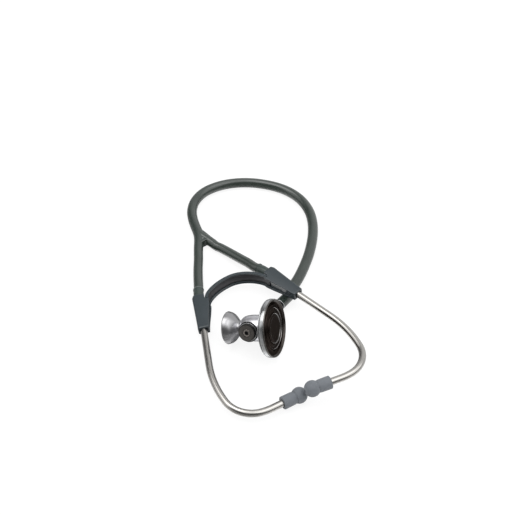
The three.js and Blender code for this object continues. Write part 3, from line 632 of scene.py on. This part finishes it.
EAR_LINE, EAR_TOP, EAR_HEADING = ear_line()
TIP_BALL = 6.1
TIP_COLLAR = 4.95
TIP_LENGTH = 14.4
TIP_NECK = 3.7
TIP_MOUTH = 2.9
TIP_MOUTH_DEPTH = 1.6
BALL_ANGLES = (radians(128), radians(14.5))
SEAM_ANGLE = 97
SEAM_WIDTH = 2.0
SEAM_DEPTH = 0.09
SOUND_HOLE = 1.28
SOUND_HOLE_DEPTH = 3.2


def tip_profile():
    """Collar with a soft lip, a neck, and a ball with a moulding line and a sound hole."""
    inside = -TIP_LENGTH + TIP_MOUTH_DEPTH
    collar = soften([(inside, TIP_MOUTH), (-TIP_LENGTH, TIP_MOUTH + 0.05), (-TIP_LENGTH, TIP_COLLAR),
                     (-TIP_BALL + 0.6, TIP_COLLAR - 0.12), (-TIP_NECK, TIP_COLLAR - 0.55)],
                    [0, 0.2, 0.7, 0.8, 0])
    ball = []
    for angle in np.linspace(*BALL_ANGLES, 40):
        seam = SEAM_DEPTH * math.exp(-((math.degrees(angle) - SEAM_ANGLE) / SEAM_WIDTH) ** 2)
        ball.append(((TIP_BALL - seam) * math.cos(angle), (TIP_BALL - seam) * math.sin(angle)))
    hole = [(TIP_BALL - 0.28, SOUND_HOLE + 0.04), (TIP_BALL - 0.7, SOUND_HOLE),
            (TIP_BALL - SOUND_HOLE_DEPTH, SOUND_HOLE), (TIP_BALL - SOUND_HOLE_DEPTH - 0.2, 0)]
    return [(inside, 0), *collar, *ball, *hole]


for name, (_, ear) in SIDES.items():
    points, faces = pipe(EAR_LINE, EAR_RADIUS, sides=40)
    ear_tube = mesh_piece(f"{name}_ear_tube_smooth", ear.out(points), faces, polished, sharp=50)
    stand_in(ear_tube, f"{name}_ear", f"{name}_ear_tube")
    points, faces = lathe(tip_profile(), 64)
    cos, sin = math.cos(EAR_HEADING), math.sin(EAR_HEADING)
    placed = np.stack([EAR_TOP[0] + points[:, 0] * cos - points[:, 1] * sin,
                       EAR_TOP[1] + points[:, 0] * sin + points[:, 1] * cos, points[:, 2]], 1)
    tip = mesh_piece(f"{name}_ear_tip_soft", ear.out(placed), faces, tip_rubber, sharp=60)
    stand_in(tip, f"{name}_ear", f"{name}_ear_tip")


# Yoke: sleeves, arch and leaf spring. X runs down each sleeve from a point inside its cuff.
SLEEVE_START = 8.0
SLEEVE_SEAT = 13.0
SLEEVE_END = 42.6
HALF_HEIGHT = 5.8
HALF_HEIGHT_END = 3.7
TOP_EDGE = 0.6
END_EDGE = 0.5
MOUTH = (3.5, 2.95)
MOUTH_DEPTH = 2.6
MOUTH_FLOOR = 2.5
PLATE_RINGS = (9.4, 10.2, 11.0, 11.8, 12.6)
CHANNEL_START = 12.9
SECTION_MIDDLE = vec(1.0, 0)
SLEEVE_OUTER = ([8.0, 11.0, 20.0, 30.0, 39.0, 42.6], [4.4, 5.4, 5.05, 4.7, 4.4, 4.42])
SLEEVE_INNER = ([13.0, 16.0, 22.0, 30.0, 36.0, 42.6], [8.1, 7.95, 7.1, 5.8, 5.0, 4.5])
CHANNEL_DEPTH = ([13.0, 20.0, 30.0, 38.0, 42.0], [1.9, 1.8, 1.3, 0.5, 0.0])
CHANNEL_FULL = 1.6
CHANNEL_LEAST = 0.02
ARCH_SEAT = 4.6
ARCH_THICKNESS = 2.7
ARCH_WEB = 1.0
ARCH_RISE = 5.5
ARCH_SPREAD = 13.0
CROWN_DROP = 1.0
FLANGE = 1.5
FLANGE_BACK = 0.6
FLANGE_FOOT = 0.7
SPRING_HALF = 0.3
SPRING_HALF_HEIGHT = 3.6


def sleeve_section(x, inner, channel):
    """Rounded box in (y, z) with a channel open towards the inside; always the same point count."""
    along = (x - SLEEVE_START) / (SLEEVE_END - SLEEVE_START)
    half = HALF_HEIGHT + (HALF_HEIGHT_END - HALF_HEIGHT) * along
    outer = -float(np.interp(x, *SLEEVE_OUTER))
    inside = half - FLANGE * half / HALF_HEIGHT
    channel = max(channel, CHANNEL_LEAST)
    floor = inner - channel
    slope = min(1.0, channel / CHANNEL_FULL)
    corners = [(outer, -half), (outer, half), (inner, half), (inner, inside), (floor, inside),
               (floor, -inside), (inner - FLANGE_BACK * slope, -inside),
               (inner + FLANGE_FOOT * slope, -half)]
    lip = min(0.35, channel * 0.3)
    return soften(corners[::-1], [0.7, lip, lip, lip, lip, 0.7, 1.3, 1.3], closed=True)


def section_ring(section, x, shrink=0.0):
    """A section's ring at x, pulled in towards its middle by a distance."""
    made = []
    for p in section:
        away = p - SECTION_MIDDLE
        length = np.linalg.norm(away)
        q = SECTION_MIDDLE + away * ((length - shrink) / length)
        made.append((x, q[0], q[1]))
    return made


def sleeve_rings():
    """Rings from the rounded top to the rounded end, and back into the mouth round the ear tube."""
    rings = []
    top = sleeve_section(SLEEVE_START, ARCH_SEAT, 0)
    for angle in (0, 30, 60, 90):
        cos, sin = math.cos(radians(angle)), math.sin(radians(angle))
        rings.append(section_ring(top, SLEEVE_START + TOP_EDGE * (1 - cos), TOP_EDGE * (1 - sin)))
    for x in PLATE_RINGS:
        rings.append(section_ring(sleeve_section(x, ARCH_SEAT, 0), x))
    for x in np.linspace(CHANNEL_START, SLEEVE_END - END_EDGE, 27):
        inner = float(np.interp(x, *SLEEVE_INNER))
        channel = float(np.interp(x, *CHANNEL_DEPTH))
        rings.append(section_ring(sleeve_section(x, inner, channel), x))
    end = sleeve_section(SLEEVE_END, SLEEVE_INNER[1][-1], 0)
    for angle in (30, 60, 90):
        cos, sin = math.cos(radians(angle)), math.sin(radians(angle))
        rings.append(section_ring(end, SLEEVE_END - END_EDGE + END_EDGE * sin, END_EDGE * (1 - cos)))
    angles = [math.atan2(p[1], p[0]) for p in end]
    for depth, scale in ((0.0, 1.06), (0.15, 1.0), (MOUTH_DEPTH, 0.95)):
        rings.append([(SLEEVE_END - depth, MOUTH[0] * scale * math.cos(a), MOUTH[1] * scale * math.sin(a))
                      for a in angles])
    rings.append([(SLEEVE_END - MOUTH_DEPTH - 0.1, MOUTH_FLOOR * math.cos(a), MOUTH_FLOOR * math.sin(a))
                  for a in angles])
    return rings


def arch_curve(inward, overlap, steps=30):
    """Left and right half of a line in the arch, at a distance inwards from the ear tubes."""
    left, right = SIDES["left"][0], SIDES["right"][0]
    left_ahead, right_ahead = left.direction((1, 0, 0)), right.direction((1, 0, 0))
    start = left.out([(SLEEVE_SEAT - JOINT_GAP, inward, 0)])[0]
    stop = right.out([(SLEEVE_SEAT - JOINT_GAP, inward, 0)])[0]
    crown = (start + stop) / 2
    crown[1] = LAYOUT[1] - inward + ARCH_SEAT + JOINT_GAP + ARCH_THICKNESS / 2
    crown[2] -= CROWN_DROP
    slope = stop - start
    slope[1] = 0
    slope = unit(slope)
    shares = np.linspace(0, 1, steps + 1)
    first = (start, start - ARCH_RISE * left_ahead, crown - ARCH_SPREAD * slope, crown)
    second = (crown, crown + ARCH_SPREAD * slope, stop - ARCH_RISE * right_ahead, stop)
    before = [start + overlap * s * left_ahead for s in (1.0, 0.5)]
    after = [stop + overlap * s * right_ahead for s in (0.5, 1.0)]
    return before + [bezier(*first, t) for t in shares], [bezier(*second, t) for t in shares] + after


def arch_section():
    """Channel section, x towards the outside of the arch, y up, with rounded edges."""
    outer, inner = ARCH_THICKNESS / 2, -ARCH_THICKNESS / 2
    web = outer - ARCH_WEB
    inside = HALF_HEIGHT - FLANGE
    corners = [(outer, -HALF_HEIGHT), (outer, HALF_HEIGHT), (inner, HALF_HEIGHT), (inner, inside),
               (web, inside), (web, -inside), (inner + FLANGE_BACK, -inside),
               (inner - FLANGE_FOOT, -HALF_HEIGHT)]
    return soften(corners, [0.9, 0.9, 0.55, 0.35, 0.3, 0.3, 0.35, 0.55], closed=True)


def spring_section():
    corners = [(-SPRING_HALF, -SPRING_HALF_HEIGHT), (SPRING_HALF, -SPRING_HALF_HEIGHT),
               (SPRING_HALF, SPRING_HALF_HEIGHT), (-SPRING_HALF, SPRING_HALF_HEIGHT)]
    return soften(corners, 0.15, steps=2, closed=True)


def swept_along(line, section, share_from, share_to):
    """A section along a line, its up turning from the left sleeve's to the right one's by share."""
    left_up = SIDES["left"][0].direction((0, 0, 1))
    right_up = SIDES["right"][0].direction((0, 0, 1))

    def up(t):
        share = share_from + (share_to - share_from) * t
        return left_up * (1 - share) + right_up * share

    rings = []
    for origin, across, lift in frames_along(line, up):
        rings.append([origin + x * across + y * lift for x, y in section])
    return loft(rings)


arches = arch_curve(ARCH_SEAT + JOINT_GAP + ARCH_THICKNESS / 2, overlap=0.6)
springs = arch_curve(ARCH_SEAT + JOINT_GAP + ARCH_WEB + JOINT_GAP + SPRING_HALF, overlap=4.0)
for name, arch, spring, shares in (
    ("left", arches[0], springs[0], (0.0, 0.5)),
    ("right", arches[1], springs[1], (0.5, 1.0)),
):
    for label, line, section, look, node_name, slot in (
        ("arch", arch, arch_section(), yoke_plastic, "yoke_arch", "yoke_plastic"),
        ("leaf_spring", spring, spring_section(), spring_steel, "leaf_spring", "spring_steel"),
    ):
        points, faces = swept_along(line, section, *shares)
        half = mesh_piece(f"{name}_{label}_half", points, faces, look, sharp=50)
        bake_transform(half)
        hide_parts(node_name)


CUFF_RADIUS = 4.2
CUFF_EDGE = 1.1
PLUG_DEPTH = 1.5
PLUG_RADIUS = 3.6
LIP_RADIUS = CUFF_RADIUS + 0.3
LIP_FOOT = 3.9
LIP_START = CUFF_TOP + 0.15
LIP_STOP = CUFF_TOP + 0.75
# The left lip is painted paler as a highlight; the right lip keeps the cuff's own colour.
LIP_LOOKS = {"left": lip_painted_highlight_pvc, "right": cuff_pvc}


def cuff_profile():
    """Plug hidden in the sleeve, collar, and a rounded top."""
    collar = [(x, CUFF_RADIUS) for x in np.linspace(CUFF_TOP + CUFF_EDGE + 0.2, CUFF_SEAT - 0.2, 14)]
    plug = soften([(CUFF_SEAT, CUFF_RADIUS - 0.1), (CUFF_SEAT + PLUG_DEPTH, PLUG_RADIUS),
                   (CUFF_SEAT + PLUG_DEPTH, 0)], [0, 0.1, 0])
    top = soften([(CUFF_TOP, 0), (CUFF_TOP, CUFF_RADIUS), (CUFF_TOP + CUFF_EDGE, CUFF_RADIUS)], [0, 0.4, 0])
    return [*top, *collar, *plug]


LIP_PROFILE = band(LIP_START, LIP_STOP, LIP_FOOT, LIP_RADIUS, [0.05, 0.25, 0.25, 0.05], steps=5)

for name, (side, _) in SIDES.items():
    points, faces = loft(sleeve_rings())
    sleeve = mesh_piece(f"{name}_sleeve_moulded", side.out(points), faces, yoke_plastic, sharp=45)
    stand_in(sleeve, f"{name}_arm", f"{name}_sleeve")
    points, faces = lathe(cuff_profile(), 56)
    points = side.out(bent(points, CUFF_SAG[name]))
    cuff = mesh_piece(f"{name}_cuff_moulded", points, faces, cuff_pvc, sharp=50)
    stand_in(cuff, f"{name}_arm", f"{name}_cuff")
    points, faces = lathe(LIP_PROFILE, 56, closed=True)
    points = side.out(bent(points, CUFF_SAG[name]))
    lip = mesh_piece(f"{name}_cuff_lip", points, faces, LIP_LOOKS[name])
    stand_in(lip, f"{name}_arm", f"{name}_cuff")


# Chestpiece, along X from the bell's rim to the diaphragm
BELL_REACH = 21.4
BORE = 1.7
BELL_OUTER = [
    (0.0, 12.15), (0.15, 12.5), (0.5, 12.7), (1.0, 12.68), (1.6, 12.5), (2.6, 12.2), (3.6, 11.85),
    (4.5, 11.35), (5.4, 10.7), (6.2, 9.95), (7.0, 9.1), (7.7, 8.3), (8.3, 7.6), (8.9, 6.85), (9.4, 6.15),
    (9.9, 5.55), (10.4, 5.15), (10.9, 5.0), (11.4, 5.05), (11.8, 5.3), (12.0, 5.3),
]
BELL_INNER = [
    (12.0, BORE), (9.6, BORE), (9.1, 2.1), (8.4, 3.1), (7.6, 4.5), (6.8, 5.65), (6.0, 6.8), (5.0, 8.1),
    (4.0, 9.25), (3.0, 10.2), (2.0, 10.85), (1.2, 11.25), (0.5, 11.6), (0.1, 11.85), (0.0, 12.15),
]
bell_profile = [(x - BELL_REACH, r) for x, r in BELL_OUTER + BELL_INNER]
turned("bell_smooth", bell_profile, satin, "head", "bell", sharp=60)

BLOCK_RADIUS = 10.2
BLOCK_BACK = -9.1
BLOCK_FRONT = 10.2
BLOCK_FLAT = 9.4
BLOCK_BEVEL = 0.5
BOSS_RADIUS = 7.4
BOSS_PROUD = 0.5
CUTTER = 40.0


def block_tools():
    """What is joined to the block and cut from it: a boss across it, and a flat on either side."""
    reach = BLOCK_FLAT + BOSS_PROUD
    boss, boss_faces = lathe([(-reach, 0), (-reach, BOSS_RADIUS), (reach, BOSS_RADIUS), (reach, 0)], 64)
    corners = np.array([(x, y, z) for x in (-1, 1) for y in (-1, 1) for z in (-1, 1)], float) * CUTTER / 2
    box_faces = [(0, 1, 3, 2), (4, 6, 7, 5), (0, 4, 5, 1), (2, 3, 7, 6), (0, 2, 6, 4), (1, 5, 7, 3)]
    tools = [("UNION", along_y(boss), boss_faces)]
    for side in (-1, 1):
        tools.append(("DIFFERENCE", corners + vec(0, side * (BLOCK_FLAT + CUTTER / 2), 0), box_faces))
    return tools


def cut_block():
    """Barrel with a boss and flats across it, its edges broken."""
    profile = soften([(BLOCK_BACK, 0), (BLOCK_BACK, 5.5), (-8.4, 7.3), (-6.3, 9.0), (-3.3, 9.9),
                      (0.5, BLOCK_RADIUS), (BLOCK_FRONT, BLOCK_RADIUS), (BLOCK_FRONT, 0)],
                     [0, 0.4, 1.0, 1.5, 1.5, 1.5, 0.4, 0])
    points, faces = lathe(profile)
    block = mesh_piece("head_block_cut", points, faces, block_steel)
    for operation, tool_points, tool_faces in block_tools():
        tool = mesh_piece("block_tool", tool_points, tool_faces, block_steel)
        change = block.modifiers.new("change", "BOOLEAN")
        change.operation = operation
        change.solver = "EXACT"
        change.object = tool
        apply_modifiers(block)
        bpy.data.objects.remove(tool)
    edges = block.modifiers.new("edges", "BEVEL")
    edges.width = BLOCK_BEVEL * MM
    edges.segments = 3
    edges.limit_method = "ANGLE"
    edges.angle_limit = radians(28)
    shape = apply_modifiers(block)
    corners = np.array([v.co for v in shape.vertices]) / MM
    shape.vertices.foreach_set("co", (HEAD.out(corners) * MM).astype(np.float32).ravel())
    shade_smooth(shape, sharp=40)
    shape.update()
    return block


stand_in(cut_block(), "head", "head_block")
# A near-black ring in the gap between the washer and the block: painted shade.
GROOVE_NEAR = -9.98
GROOVE_DEEP = -9.2
GROOVE_BORE = 7.0
GROOVE_RADIUS = 8.0
gap_shade_profile = band(GROOVE_NEAR, GROOVE_DEEP, GROOVE_BORE, GROOVE_RADIUS, 0.1, steps=3)
turned("head_block_gap_painted_shade", gap_shade_profile, recess_painted_shade, "head", "head_block", segments=72,
       closed=True, across=True, sharp=50)

HOUSING_BACK = 10.3
FLANGE_FRONT = 13.9
SEAT_FRONT = 15.4
housing_profile = soften([(HOUSING_BACK, BORE), (HOUSING_BACK, 9.5), (11.4, 9.6), (12.6, 18.8),
                          (13.0, 21.9), (FLANGE_FRONT, 21.95), (FLANGE_FRONT, 20.5), (SEAT_FRONT, 20.4),
                          (SEAT_FRONT, 19.0), (14.9, 19.0), (13.3, 2.9), (12.6, BORE)],
                         [0.1, 0.4, 1.2, 1.5, 0.5, 0.3, 0.2, 0.1, 0.1, 0.2, 0.3, 0.1], closed=True)
turned("housing_smooth", housing_profile, chrome, "head", "diaphragm_housing", segments=128,
       closed=True, sharp=45)

RIM_BACK = 14.4
RIM_REACH = 17.2
RIM_RADIUS = 22.3
RIM_WALL = 20.9
RIM_SIDES = 160
# Radius inside which the lip is painted darker as shade.
LIP_SHADE_RADIUS = 21.55
rim_profile = band(RIM_BACK, RIM_REACH, RIM_WALL, RIM_RADIUS, [0.1, 0.4, 0.15, 0.1], steps=5)
turned("diaphragm_rim_smooth", rim_profile, chrome, "head", "diaphragm_rim", segments=RIM_SIDES,
       closed=True, sharp=50)
lip_profile = soften([(RIM_REACH, RIM_WALL), (RIM_REACH, 22.15), (18.0, 22.05), (18.1, 21.6),
                      (16.75, 20.35), (16.5, 20.3)], [0.05, 0.1, 0.2, 0.2, 0.1, 0.05], closed=True)
rim_lip = turned("diaphragm_rim_lip", lip_profile, taupe_metal, "head", "diaphragm_rim",
                 segments=RIM_SIDES, closed=True, sharp=50)
# Faces of the lip inside that radius take the darker metal, as painted shade on the inner bevel.
second_look(rim_lip, rim_bevel_painted_shade, RIM_SIDES, lambda k: mid_radius(lip_profile, k) < LIP_SHADE_RADIUS)

DIAPHRAGM_FRONT = 16.2
DIAPHRAGM_BACK = DIAPHRAGM_FRONT - 0.5
DIAPHRAGM_DOME = 1.6
DIAPHRAGM_EDGE = 19.6
DIAPHRAGM_SIDES = 128
DOME_FLAT = 8.0
WAVE_HEIGHT = 0.5
WAVE_PITCH = 3.2
WAVES = 3
FRONT_STEPS = 280
BEADS = ((11.5, 0.75, 0.65), (15.8, 0.45, 0.45))
# Share of a bead's half width next to its crest that the painted highlight leaves out.
BEAD_HIGHLIGHT_SHARE = 0.3


def front_rise(r):
    """Height of the disc's front at a radius: a dome with a flat middle, soft waves and thin beads."""
    foot = DOME_FLAT + WAVES * WAVE_PITCH
    rise = DIAPHRAGM_DOME * min(1.0, max(0.0, (foot - r) / (foot - DOME_FLAT)))
    for k in range(WAVES):
        away = abs(r - DOME_FLAT - (k + 0.5) * WAVE_PITCH) / (0.5 * WAVE_PITCH)
        rise += WAVE_HEIGHT * max(0.0, math.cos(math.pi / 2 * min(1.0, away))) ** 2
    for bead, height, half in BEADS:
        rise += height * math.sqrt(max(0.0, 1 - ((r - bead) / half) ** 2))
    return rise


def diaphragm_profile():
    """The pressed front, then a turned-up edge and a plain back."""
    front = [(DIAPHRAGM_FRONT + front_rise(r), r) for r in np.linspace(0, DIAPHRAGM_EDGE, FRONT_STEPS)]
    edge = soften([front[-1], (DIAPHRAGM_FRONT + 0.05, 20.1), (DIAPHRAGM_FRONT + 1.65, 21.35),
                   (DIAPHRAGM_FRONT + 1.35, 21.45), (DIAPHRAGM_BACK, 20.2)], [0, 0.5, 0.1, 0.1, 0], steps=5)
    return [*front, *edge[1:], (DIAPHRAGM_BACK, 0.0)]


def on_bead_painted_highlight(k):
    """Whether a ring of faces is the steep inner side of a bead, which gets a lighter metal as a painted
    highlight.
    """
    radius = mid_radius(pressed_profile, k)
    on_slope = any(-half < radius - bead < -BEAD_HIGHLIGHT_SHARE * half for bead, _, half in BEADS)
    return on_slope and k < FRONT_STEPS - 1


pressed_profile = diaphragm_profile()
diaphragm = turned("diaphragm_pressed", pressed_profile, resin, "head", "diaphragm",
                   segments=DIAPHRAGM_SIDES, sharp=60)
# The steep inner sides of the beads take the lighter metal, as painted highlight arcs.
second_look(diaphragm, bead_painted_highlight, DIAPHRAGM_SIDES, on_bead_painted_highlight)

# Stem: a spindle across the block, and a bent pipe to the tubing
SPINDLE_RADIUS = 4.2
COLLAR_RADIUS = 6.6
PIPE_RADIUS = 3.3
NEAR_FACE = -10.7
COLLAR_BACK = 9.7
COLLAR_FRONT = 11.5
PIPE_START = 17.0
SPINDLE_END = 17.5
PIPE_INSIDE = 4.0
spindle_profile = soften([(NEAR_FACE, 0), (NEAR_FACE, SPINDLE_RADIUS), (COLLAR_BACK, SPINDLE_RADIUS),
                          (COLLAR_BACK, COLLAR_RADIUS), (COLLAR_FRONT, COLLAR_RADIUS), (12.5, 4.5),
                          (14.5, PIPE_RADIUS), (SPINDLE_END, PIPE_RADIUS), (SPINDLE_END, 0)],
                         [0, 0.3, 0.1, 0.35, 0.6, 1.0, 1.0, 0, 0])
# The spindle and the pipe carry the stem metal's painted shade.
turned("stem_spindle", spindle_profile, stem_painted_shade_metal, "headset", "stem", segments=64, across=True,
       sharp=45)
pipe_line = [vec(0, PIPE_START, 0), *stem_line(), stem_end + stem_forward * PIPE_INSIDE]
points, faces = pipe(pipe_line, PIPE_RADIUS, sides=40, up=(0.2, 0.1, 1))
stem_pipe = mesh_piece("stem_pipe", HEAD.out(points), faces, stem_painted_shade_metal, sharp=50)
stand_in(stem_pipe, "headset", "stem")


def facing_stem(points):
    """Points of a body turned about X, laid along the stem's last stretch."""
    x = stem_forward
    y = unit(np.cross(vec(0, 0, 1), x))
    z = np.cross(x, y)
    return stem_end + np.asarray(points) @ np.array([x, y, z])


RING_FRONT = RING_WIDTH + 2 * JOINT_GAP - TUBE_OVERLAP
RING_BACK = RING_FRONT - 0.8
RING_RADIUS = 4.7
RING_BORE = 2.5
ring_profile = band(RING_BACK, RING_FRONT, RING_BORE, RING_RADIUS, [0.1, 0.3, 0.2, 0.1], steps=5)
points, faces = lathe(ring_profile, 72, closed=True)
stem_ring = mesh_piece("stem_ring_smooth", HEAD.out(facing_stem(points)), faces, chrome, sharp=50)
stand_in(stem_ring, "headset", "stem_ring")

# Washer, cap and socket screw on the near side of the block
WASHER_BORE = 4.5
WASHER_RADIUS = 7.3
WASHER_BACK = -9.7
washer_profile = band(NEAR_FACE, WASHER_BACK, WASHER_BORE, WASHER_RADIUS, [0.1, 0.3, 0.3, 0.1])
turned("cap_washer_smooth", washer_profile, chrome, "headset", "cap_washer", segments=72,
       closed=True, across=True, sharp=50)

CAP_BACK = -11.0
CAP_FRONT = -12.9
CAP_RADIUS = 6.75
CAP_EDGE = 5.9
CAP_RECESS = 3.2
CAP_RECESS_DEPTH = 1.3
CAP_SIDES = 80
recess = [(CAP_FRONT + CAP_RECESS_DEPTH, 0), (CAP_FRONT + CAP_RECESS_DEPTH, CAP_RECESS - 0.1),
          (CAP_FRONT + 0.25, CAP_RECESS - 0.05)]
cap_profile = recess + soften([(CAP_FRONT, CAP_RECESS), (CAP_FRONT, CAP_RADIUS), (CAP_BACK, CAP_RADIUS),
                               (CAP_BACK, 0)], [0.2, 0.6, 0.3, 0], steps=5)
cap = turned("retaining_cap_smooth", cap_profile, dark_metal, "headset", "retaining_cap",
             segments=CAP_SIDES, across=True, sharp=45)
# The cap's recess and outer edge take the near-black metal as painted shade.
second_look(cap, recess_painted_shade, CAP_SIDES, lambda k: not CAP_RECESS <= mid_radius(cap_profile, k) <= CAP_EDGE)

SCREW_SIDES = 48
SCREW_RADIUS = 2.9
SCREW_BACK = CAP_FRONT + 1.2
SCREW_FLAT = 1.6
SOCKET = 1.3
SOCKET_CHAMFER = 0.12
SOCKET_DEPTH = 0.9


def hexagonal(x, across):
    """Points of a hexagon's ring at x, as many as a round one has."""
    ring = []
    for a in round_angles(SCREW_SIDES):
        r = across / math.cos((a + math.pi / 6) % (math.pi / 3) - math.pi / 6)
        ring.append((x, r * math.cos(a), r * math.sin(a)))
    return ring


def screw_piece():
    """Button of a socket screw whose hexagon hole is part of its rings."""
    button = soften([(SCREW_BACK, SCREW_RADIUS), (CAP_FRONT, SCREW_RADIUS), (CAP_FRONT, SCREW_FLAT)],
                    [0, 0.35, 0])
    rings = [circle(x, radius, SCREW_SIDES) for x, radius in [(SCREW_BACK, 0.01), *button]]
    socket_start = len(rings) - 1
    rings.append(hexagonal(CAP_FRONT, SOCKET + SOCKET_CHAMFER))
    rings.append(hexagonal(CAP_FRONT + 0.1, SOCKET))
    rings.append(hexagonal(CAP_FRONT + SOCKET_DEPTH, SOCKET))
    rings.append(hexagonal(CAP_FRONT + SOCKET_DEPTH + 0.05, 0.02))
    points, faces = loft(rings)
    piece = mesh_piece("retaining_screw_smooth", HEAD.out(along_y(points)), faces, screw_metal, sharp=35)
    # The hexagon socket takes the near-black metal as painted shade.
    second_look(piece, recess_painted_shade, SCREW_SIDES, lambda k: k >= socket_start)
    return piece


stand_in(screw_piece(), "headset", "retaining_screw")

# Hidden pieces keep their solids and get a finish
for node_name, look in {
    "front_oring": seal, "rear_oring": seal, "detent_ball": chrome, "detent_spring": spring_steel,
    "detent_plug": dark_metal,
}.items():
    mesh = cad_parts[node_name].data
    mesh.materials.clear()
    mesh.materials.append(look)


# Floor, world and lamp
def joined(tree, kind, *sources, **settings):
    """A node whose first sockets are linked to the given outputs; gives its own output."""
    made = node(tree, kind, **settings)
    for source, socket in zip(sources, made.inputs):
        tree.links.new(source, socket)
    return made.outputs[0]


def reflected_ray(tree, rays):
    """1 for a ray that was mirrored or went through something clear."""
    return joined(tree, "ShaderNodeMath", rays.outputs["Is Glossy Ray"],
                  rays.outputs["Is Transmission Ray"], operation="MAXIMUM")


def pale_material(name, seen, mirrored, lighting, gloss_roughness=0.3):
    """Pale surface with part of its brightness as its own glow, as the camera sees it, as metal mirrors
    it and as it lights the object; each is a glow, a tone and, for what is mirrored, a shine."""
    made = bpy.data.materials.new(name)
    made.use_nodes = True
    tree = made.node_tree
    tree.nodes.clear()
    out = node(tree, "ShaderNodeOutputMaterial")
    rays = node(tree, "ShaderNodeLightPath")

    def surface(glow, tone, shine=0.0):
        diffuse = node(tree, "ShaderNodeBsdfDiffuse", {"Color": (tone, tone, tone, 1)})
        emission = node(tree, "ShaderNodeEmission", {"Strength": glow})
        both = joined(tree, "ShaderNodeAddShader", diffuse.outputs[0], emission.outputs[0])
        if not shine:
            return both
        gloss = node(tree, "ShaderNodeBsdfGlossy", {"Color": (shine, shine, shine, 1),
                                                    "Roughness": gloss_roughness})
        return joined(tree, "ShaderNodeAddShader", both, gloss.outputs[0])

    look = joined(tree, "ShaderNodeMixShader", reflected_ray(tree, rays), surface(*lighting),
                  surface(*mirrored))
    look = joined(tree, "ShaderNodeMixShader", rays.outputs["Is Camera Ray"], look, surface(*seen))
    tree.links.new(look, out.inputs["Surface"])
    return made


FLOOR = 8.0
floor_mesh = bpy.data.meshes.new("floor")
floor_mesh.from_pydata([(-FLOOR, -FLOOR, 0), (FLOOR, -FLOOR, 0), (FLOOR, FLOOR, 0), (-FLOOR, FLOOR, 0)],
                       [], [(0, 1, 2, 3)])
floor_mesh.materials.append(pale_material("floor_white", seen=(0.86, 0.17), mirrored=(0.02, 0.15, 0.62),
                                          lighting=(0.2, 0.8)))
link("floor", floor_mesh)

# Soft boxes: direction, outer and inner angle in degrees, strength
SOFT_BOXES = [
    ((0, 0, 1), 40, 22, 1.25),
    ((0.48, -0.48, 0.73), 36, 18, 1.1),
    ((-0.70, 0.40, 0.59), 30, 14, 0.75),
    ((0.86, 0.50, 0.1), 76, 26, 0.6),
    ((-0.9, 0.05, -0.05), 35, 10, 0.25),
]
SURROUND_LIGHT = 0.36
SURROUND_MIRRORED = 0.1


def studio_world():
    """Soft boxes round the table, a white surround for the camera."""
    world = bpy.data.worlds.new("world")
    scene.world = world
    world.use_nodes = True
    tree = world.node_tree
    tree.nodes.clear()
    place = node(tree, "ShaderNodeTexCoord")
    rays = node(tree, "ShaderNodeLightPath")

    def soft_box(towards, edge, core, strength):
        """Brightness that rises from an outer to an inner angle round a direction."""
        facing = node(tree, "ShaderNodeVectorMath", operation="DOT_PRODUCT")
        tree.links.new(place.outputs["Generated"], facing.inputs[0])
        facing.inputs[1].default_value = tuple(unit(vec(*towards)))
        rise = node(tree, "ShaderNodeMapRange", {
            "From Min": math.cos(radians(edge)),
            "From Max": math.cos(radians(core)),
            "To Max": strength,
        }, interpolation_type="SMOOTHSTEP")
        tree.links.new(facing.outputs["Value"], rise.inputs["Value"])
        return rise.outputs[0]

    surround = node(tree, "ShaderNodeMapRange", {"To Min": SURROUND_LIGHT, "To Max": SURROUND_MIRRORED})
    tree.links.new(reflected_ray(tree, rays), surround.inputs["Value"])
    level = surround.outputs[0]
    for box in SOFT_BOXES:
        level = joined(tree, "ShaderNodeMath", level, soft_box(*box), operation="ADD")
    white = {"Color": (1, 1, 1, 1)}
    studio = node(tree, "ShaderNodeBackground", white)
    tree.links.new(level, studio.inputs["Strength"])
    seen = node(tree, "ShaderNodeBackground", white)
    look = joined(tree, "ShaderNodeMixShader", rays.outputs["Is Camera Ray"], studio.outputs[0],
                  seen.outputs[0])
    out = node(tree, "ShaderNodeOutputWorld")
    tree.links.new(look, out.inputs["Surface"])


studio_world()

lamp = bpy.data.lights.new("key", "AREA")
lamp.energy = 3.8
lamp.color = (1.0, 0.99, 0.975)
lamp.size = 0.9
look_at(link("key", lamp), location=(-0.35, 0.45, 1.25), target=(0.01, 0.05, 0.02))
